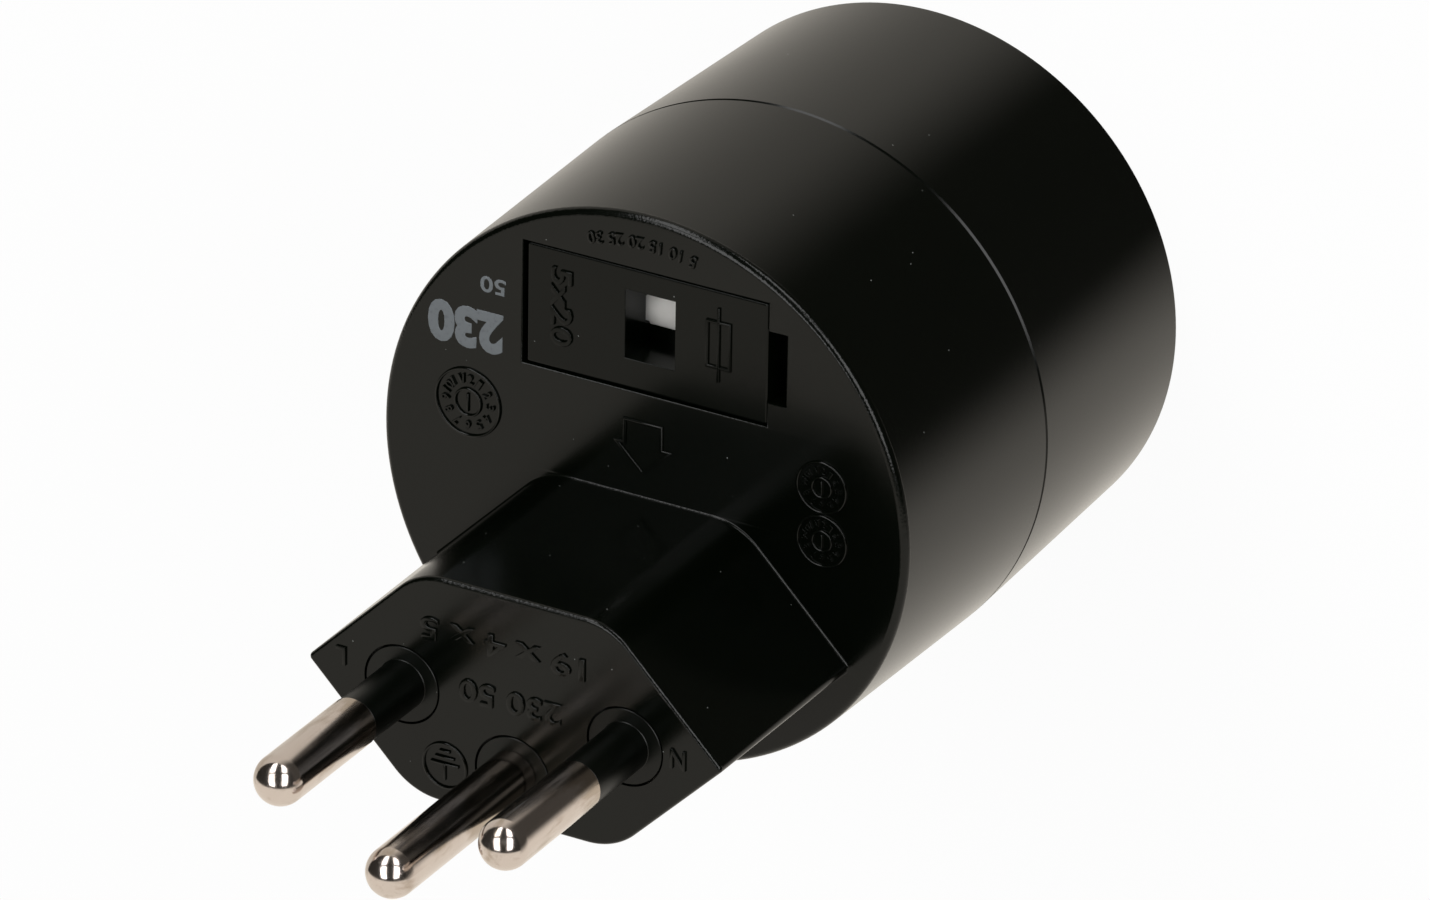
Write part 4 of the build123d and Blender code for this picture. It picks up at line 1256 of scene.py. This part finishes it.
def dial(centre, radius):
    """A mould dial: a ring, a hub with a pointer, and numbers. Sizes are shares of the radius."""
    hub = DIAL_HUB * radius
    reach = (radius - DIAL_LINE + hub) / 2
    pointer = DIAL_POINTER * hub
    x, y = centre
    sheets = ring(radius, DIAL_LINE, centre, PLATE) + ring(hub, DIAL_LINE, centre, PLATE)
    sheets += bar((x, y - pointer), (x, y + pointer), DIAL_LINE, PLATE)
    for number in range(DIAL_NUMBERS):
        angle = 90 - 360 * number / DIAL_NUMBERS
        spot = (x + reach * math.cos(math.radians(angle)), y + reach * math.sin(math.radians(angle)))
        digits = str(number or DIAL_NUMBERS)
        width = DIAL_DIGIT[0] * radius * len(digits)
        sheets.append(lettering(digits, width, DIAL_DIGIT[1] * radius, spot, angle - 90, PLATE))
    return sheets


ARC_RADIUS = 20.2
ARC_NUMBERS = "5 10 15 20 25 30"
ARC_SIZE = (9.3, 1.0)
ARC_MIDDLE = -0.25
arc_letters, arc_faces = lettering(ARC_NUMBERS, *ARC_SIZE, (ARC_MIDDLE, 0), 180, PLATE)
arc_angle = math.pi / 2 - arc_letters[:, 0] / ARC_RADIUS
arc_reach = ARC_RADIUS + arc_letters[:, 1]
arc_points = [arc_reach * np.cos(arc_angle), arc_reach * np.sin(arc_angle), arc_letters[:, 2]]

plate_marks = relief(arrow_corners(0), [arrow_corners(ARROW_LINE)], PLATE)
for dial_centre, dial_radius in DIALS:
    plate_marks += dial(dial_centre, dial_radius)
plate_marks.append((np.column_stack(arc_points), arc_faces))
piece("plate_marks", plate_marks, shell_plastic, "adapter")

# %% [markdown]
# The nose names its pins by the usual letters and the earth sign, and carries two rows of numbers.
# The earth sign is a ring, a stem and three bars that get shorter.

# %% Marks on the nose
EARTH_SIGN = (-5.75, -16.2)
SIGN_RADIUS = 1.92
SIGN_LINE = 0.2
SIGN_STEM = 1.2
SIGN_BARS = ((1.2, 0.15), (0.82, 0.68), (0.45, 1.2))
NOSE_LETTERS = [
    ("L", (0.85, 1.5), (-14.7, -9.4)),
    ("N", (1.3, 1.6), (14.0, -10.3)),
    ("19 x 4 x 5", (14.0, 1.9), (-0.9, -5.1)),
    ("230 50", (8.7, 1.9), (-0.2, -9.4)),
]
sign_x, sign_y = EARTH_SIGN
nose_marks = ring(SIGN_RADIUS, SIGN_LINE, EARTH_SIGN, NOSE)
nose_marks += bar((sign_x, sign_y + SIGN_BARS[0][1]), (sign_x, sign_y - SIGN_STEM), SIGN_LINE, NOSE)
for half_length, drop in SIGN_BARS:
    ends = [(sign_x + side * half_length, sign_y + drop) for side in (-1, 1)]
    nose_marks += bar(*ends, SIGN_LINE, NOSE)
for letters, size, centre in NOSE_LETTERS:
    nose_marks.append(lettering(letters, *size, centre, 180, NOSE))
piece("nose_marks", nose_marks, shell_plastic, "adapter")

# %% [markdown]
# Printed numbers are ink, so they hardly stand out from the plate. A thin sheet in the grey of the ink
# is enough. The large one is printed bold, which the text's offset gives.

# %% Grey print
PRINT_RISE = 0.02
PRINTED = [("230", (6.5, 3.5), (-15.3, 9.55), 0.35), ("50", (2.2, 1.35), (-12.95, 13.5), 0.0)]
print_sheets = [
    lettering(letters, *size, centre, 180, PLATE, bold=bold, rise=PRINT_RISE)
    for letters, size, centre, bold in PRINTED
]
piece("grey_numbers", print_sheets, print_grey, "adapter")

# %% [markdown]
# Parts deep inside keep their packed shape and get a real finish. They show when the holder slides out
# of its pocket and through the holes of the socket. The packed nodes that were replaced get one too,
# so that none is left without.

# %% Finishes of the packed parts
INNER_FINISHES = {
    "contact_carrier": inner_plastic,
    "pin_retainer": inner_plastic,
    "line_fuse_clip": spring,
    "load_fuse_clip": spring,
    "line_contact": brass,
    "neutral_contact": brass,
    "line_strip": brass,
    "load_strip": brass,
    "neutral_strip": brass,
    "earth_strip": brass,
}
for name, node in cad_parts.items():
    node.data.materials.clear()
    node.data.materials.append(INNER_FINISHES.get(name, shell_plastic))
print("inner parts:", len(INNER_FINISHES))

# %% [markdown]
# The camera is a long lens about a metre away, turned on its side, so that the standing adapter points
# its pins down to the left. It looks along a line with an azimuth and an elevation, and then rolls.

# %% Camera
SENSOR = 36.0
LENS = 337.81
CLIP_START = 0.05
CLIP_END = 50
DISTANCE = 0.99234
TARGET = Vector((6.14, 4.83, PLATE)) * MM
SIGHT_AZIMUTH = 226.05
SIGHT_ELEVATION = -51.22
ROLL = -128.09


def pose(place, across, up, back):
    """The matrix of an object at a place whose own X, Y and Z axes point across, up and back."""
    return Matrix.Translation(place) @ Matrix((across, up, back)).transposed().to_4x4()


azimuth, elevation = math.radians(SIGHT_AZIMUTH), math.radians(SIGHT_ELEVATION)
level = math.cos(elevation)
sight = Vector((level * math.cos(azimuth), level * math.sin(azimuth), math.sin(elevation)))
level_right = sight.cross(Vector((0, 0, 1))).normalized()
level_up = level_right.cross(sight)
roll = math.radians(ROLL)
right_side = level_right * math.cos(roll) + level_up * math.sin(roll)

camera_data = bpy.data.cameras.new("camera")
camera_data.sensor_width = SENSOR
camera_data.lens = LENS
camera_data.clip_start = CLIP_START
camera_data.clip_end = CLIP_END
camera = linked("camera", camera_data)
camera.matrix_world = pose(TARGET - sight * DISTANCE, right_side, right_side.cross(sight), -sight)
bpy.context.scene.camera = camera
print("camera at", [round(x, 3) for x in camera.matrix_world.translation])

# %% [markdown]
# The floor is pale and plain. The camera sees it as white paper, with a trace of the real shadow. The
# black wall mirrors the floor beside it, so what the floor shows to glossy rays decides what the wall
# looks like. To glossy rays the floor glows in a painted pattern: bright on one side of the adapter,
# like a lit table, a little less bright on the other, like a backdrop, and dark in between. That dark
# part is painted shadow, and the wall shows it as a painted reflection, its dark band.

# %% Floor
FLOOR_SIZE = 3.0
FLOOR_COLOUR = (0.8, 0.8, 0.79, 1)
BAND_CENTRE = (8.55, 9.76)
BAND_AZIMUTH = math.radians(29)
BAND_LIGHT = 0.07
TABLE_EDGE = (-64, -30)
TABLE_LIGHT = 0.95
BACKDROP_EDGE = (38, 84)
BACKDROP_LIGHT = 0.72
SHADOW_SHARE = 0.05
WHITE = (1, 1, 1, 1)
WARM = (1.02, 0.96, 0.86, 1)


def light_paths(graph):
    """Fields that are 1 for camera rays, for glossy rays and for rays through glass, and 0 otherwise."""
    seen = graph.add("ShaderNodeLightPath", out="Is Camera Ray")
    return seen, seen.also("Is Glossy Ray"), seen.also("Is Transmission Ray")


def mirrored_floor(graph):
    """The floor's painted glow in reflections, by the angle round the dark band's centre, in degrees."""
    where = graph.split(graph.place())
    x, y = where - BAND_CENTRE[0] * MM, where.also(1) - BAND_CENTRE[1] * MM
    along, across = math.cos(BAND_AZIMUTH), math.sin(BAND_AZIMUTH)
    ahead = x * along + y * across
    aside = y * along - x * across
    angle = aside.math("ARCTAN2", aside, ahead) * math.degrees(1)
    table = 1 - graph.ramp(angle, *TABLE_EDGE)
    backdrop = graph.ramp(angle, *BACKDROP_EDGE)
    return BAND_LIGHT + (TABLE_LIGHT - BAND_LIGHT) * table + (BACKDROP_LIGHT - BAND_LIGHT) * backdrop


def floor_material():
    material, graph = new_material("pale_floor")
    seen, glossy, through = light_paths(graph)
    paper = graph.add("ShaderNodeBsdfDiffuse", inputs={"Color": FLOOR_COLOUR})
    # Glossy rays see the floor's painted reflection pattern, which is dark in the band.
    strength = seen + glossy * mirrored_floor(graph) + through
    glow_colour = graph.blend(glossy, WHITE, WARM)
    glow = graph.add("ShaderNodeEmission", inputs={"Color": glow_colour, "Strength": strength})
    share = seen * (1 - SHADOW_SHARE) + glossy + through
    mixed = graph.add("ShaderNodeMixShader", inputs={0: share, 1: paper, 2: glow})
    graph.add("ShaderNodeOutputMaterial", inputs={"Surface": mixed})
    return material


floor_mesh = bpy.data.meshes.new("floor")
floor_corners = [(x, y, 0) for x, y in rectangle(FLOOR_SIZE, FLOOR_SIZE)]
floor_mesh.from_pydata(floor_corners, [], [(0, 1, 2, 3)])
floor_mesh.materials.append(floor_material())
floor = linked("floor", floor_mesh)
print("floor", FLOOR_SIZE, "m wide")

# %% [markdown]
# Above the floor the room is plain. The camera sees white where it looks past the floor. Reflections
# see the lit table go on at one side and a dark room at the other, because a black face looks black
# only where it mirrors something dark. All other rays get a little even light.

# %% Room light
AMBIENT = 0.15
ROOM_DARK = 0.035
TABLE_SIDE = -0.25
TABLE_SOFTNESS = 0.04

world = bpy.data.worlds.new("studio")
bpy.context.scene.world = world
world.use_nodes = True
room = Graph(world.node_tree)
across_room = room.split(room.add("ShaderNodeTexCoord", out="Generated")).also(1)
past_table = room.ramp(across_room, TABLE_SIDE - TABLE_SOFTNESS, TABLE_SIDE + TABLE_SOFTNESS)
in_gloss = TABLE_LIGHT + past_table * (ROOM_DARK - TABLE_LIGHT)
seen, glossy, through = light_paths(room)
plain = 1 - seen - glossy - through
light = seen + through + glossy * in_gloss + plain * AMBIENT
room_colour = room.blend(glossy, WHITE, WARM)
background = room.add("ShaderNodeBackground", inputs={"Color": room_colour, "Strength": light})
room.add("ShaderNodeOutputWorld", inputs={"Surface": background})
print("room nodes:", len(world.node_tree.nodes))

# %% [markdown]
# The light comes from one large window of two columns with two panes each. The panes lie in a plane,
# so each is a place across and up that plane and a size. Bare metal mirrors them as four bright bars.

# %% Studio window
PANES_AWAY = 1.0
PANES_SEEN_FROM = Vector((0, -12, 80)) * MM
PANES_LIGHT = 4.5
COLUMNS = ((0.30, 0.87), (-0.82, -0.30))
ROWS = ((-2.40, -0.56), (-0.38, 0.65))
panes_facing = Vector((0.293, 0.493, 0.819)).normalized()
panes_side = Vector((-0.922, -0.083, 0.379)).normalized()
panes_up = panes_facing.cross(panes_side)
panes_across = panes_up.cross(panes_facing)


def pane(name, left, right, bottom, top):
    """A flat lamp in the window's plane. Its power is radiance * pi * area."""
    lamp_data = bpy.data.lights.new(name, "AREA")
    lamp_data.shape = "RECTANGLE"
    lamp_data.size = (right - left) * PANES_AWAY
    lamp_data.size_y = (top - bottom) * PANES_AWAY
    lamp_data.energy = PANES_LIGHT * math.pi * lamp_data.size * lamp_data.size_y
    middle = panes_facing + panes_across * (left + right) / 2 + panes_up * (bottom + top) / 2
    lamp = linked(name, lamp_data)
    lamp.matrix_world = pose(PANES_SEEN_FROM + middle * PANES_AWAY, panes_across, panes_up, panes_facing)
    lamp.visible_camera = False
    print(name, "power", round(lamp_data.energy, 2))


for row, (bottom, top) in enumerate(ROWS):
    for column, (left, right) in enumerate(COLUMNS):
        pane(f"pane_{row}_{column}", left, right, bottom, top)

scene = bpy.context.scene
scene.view_settings.view_transform = "Standard"
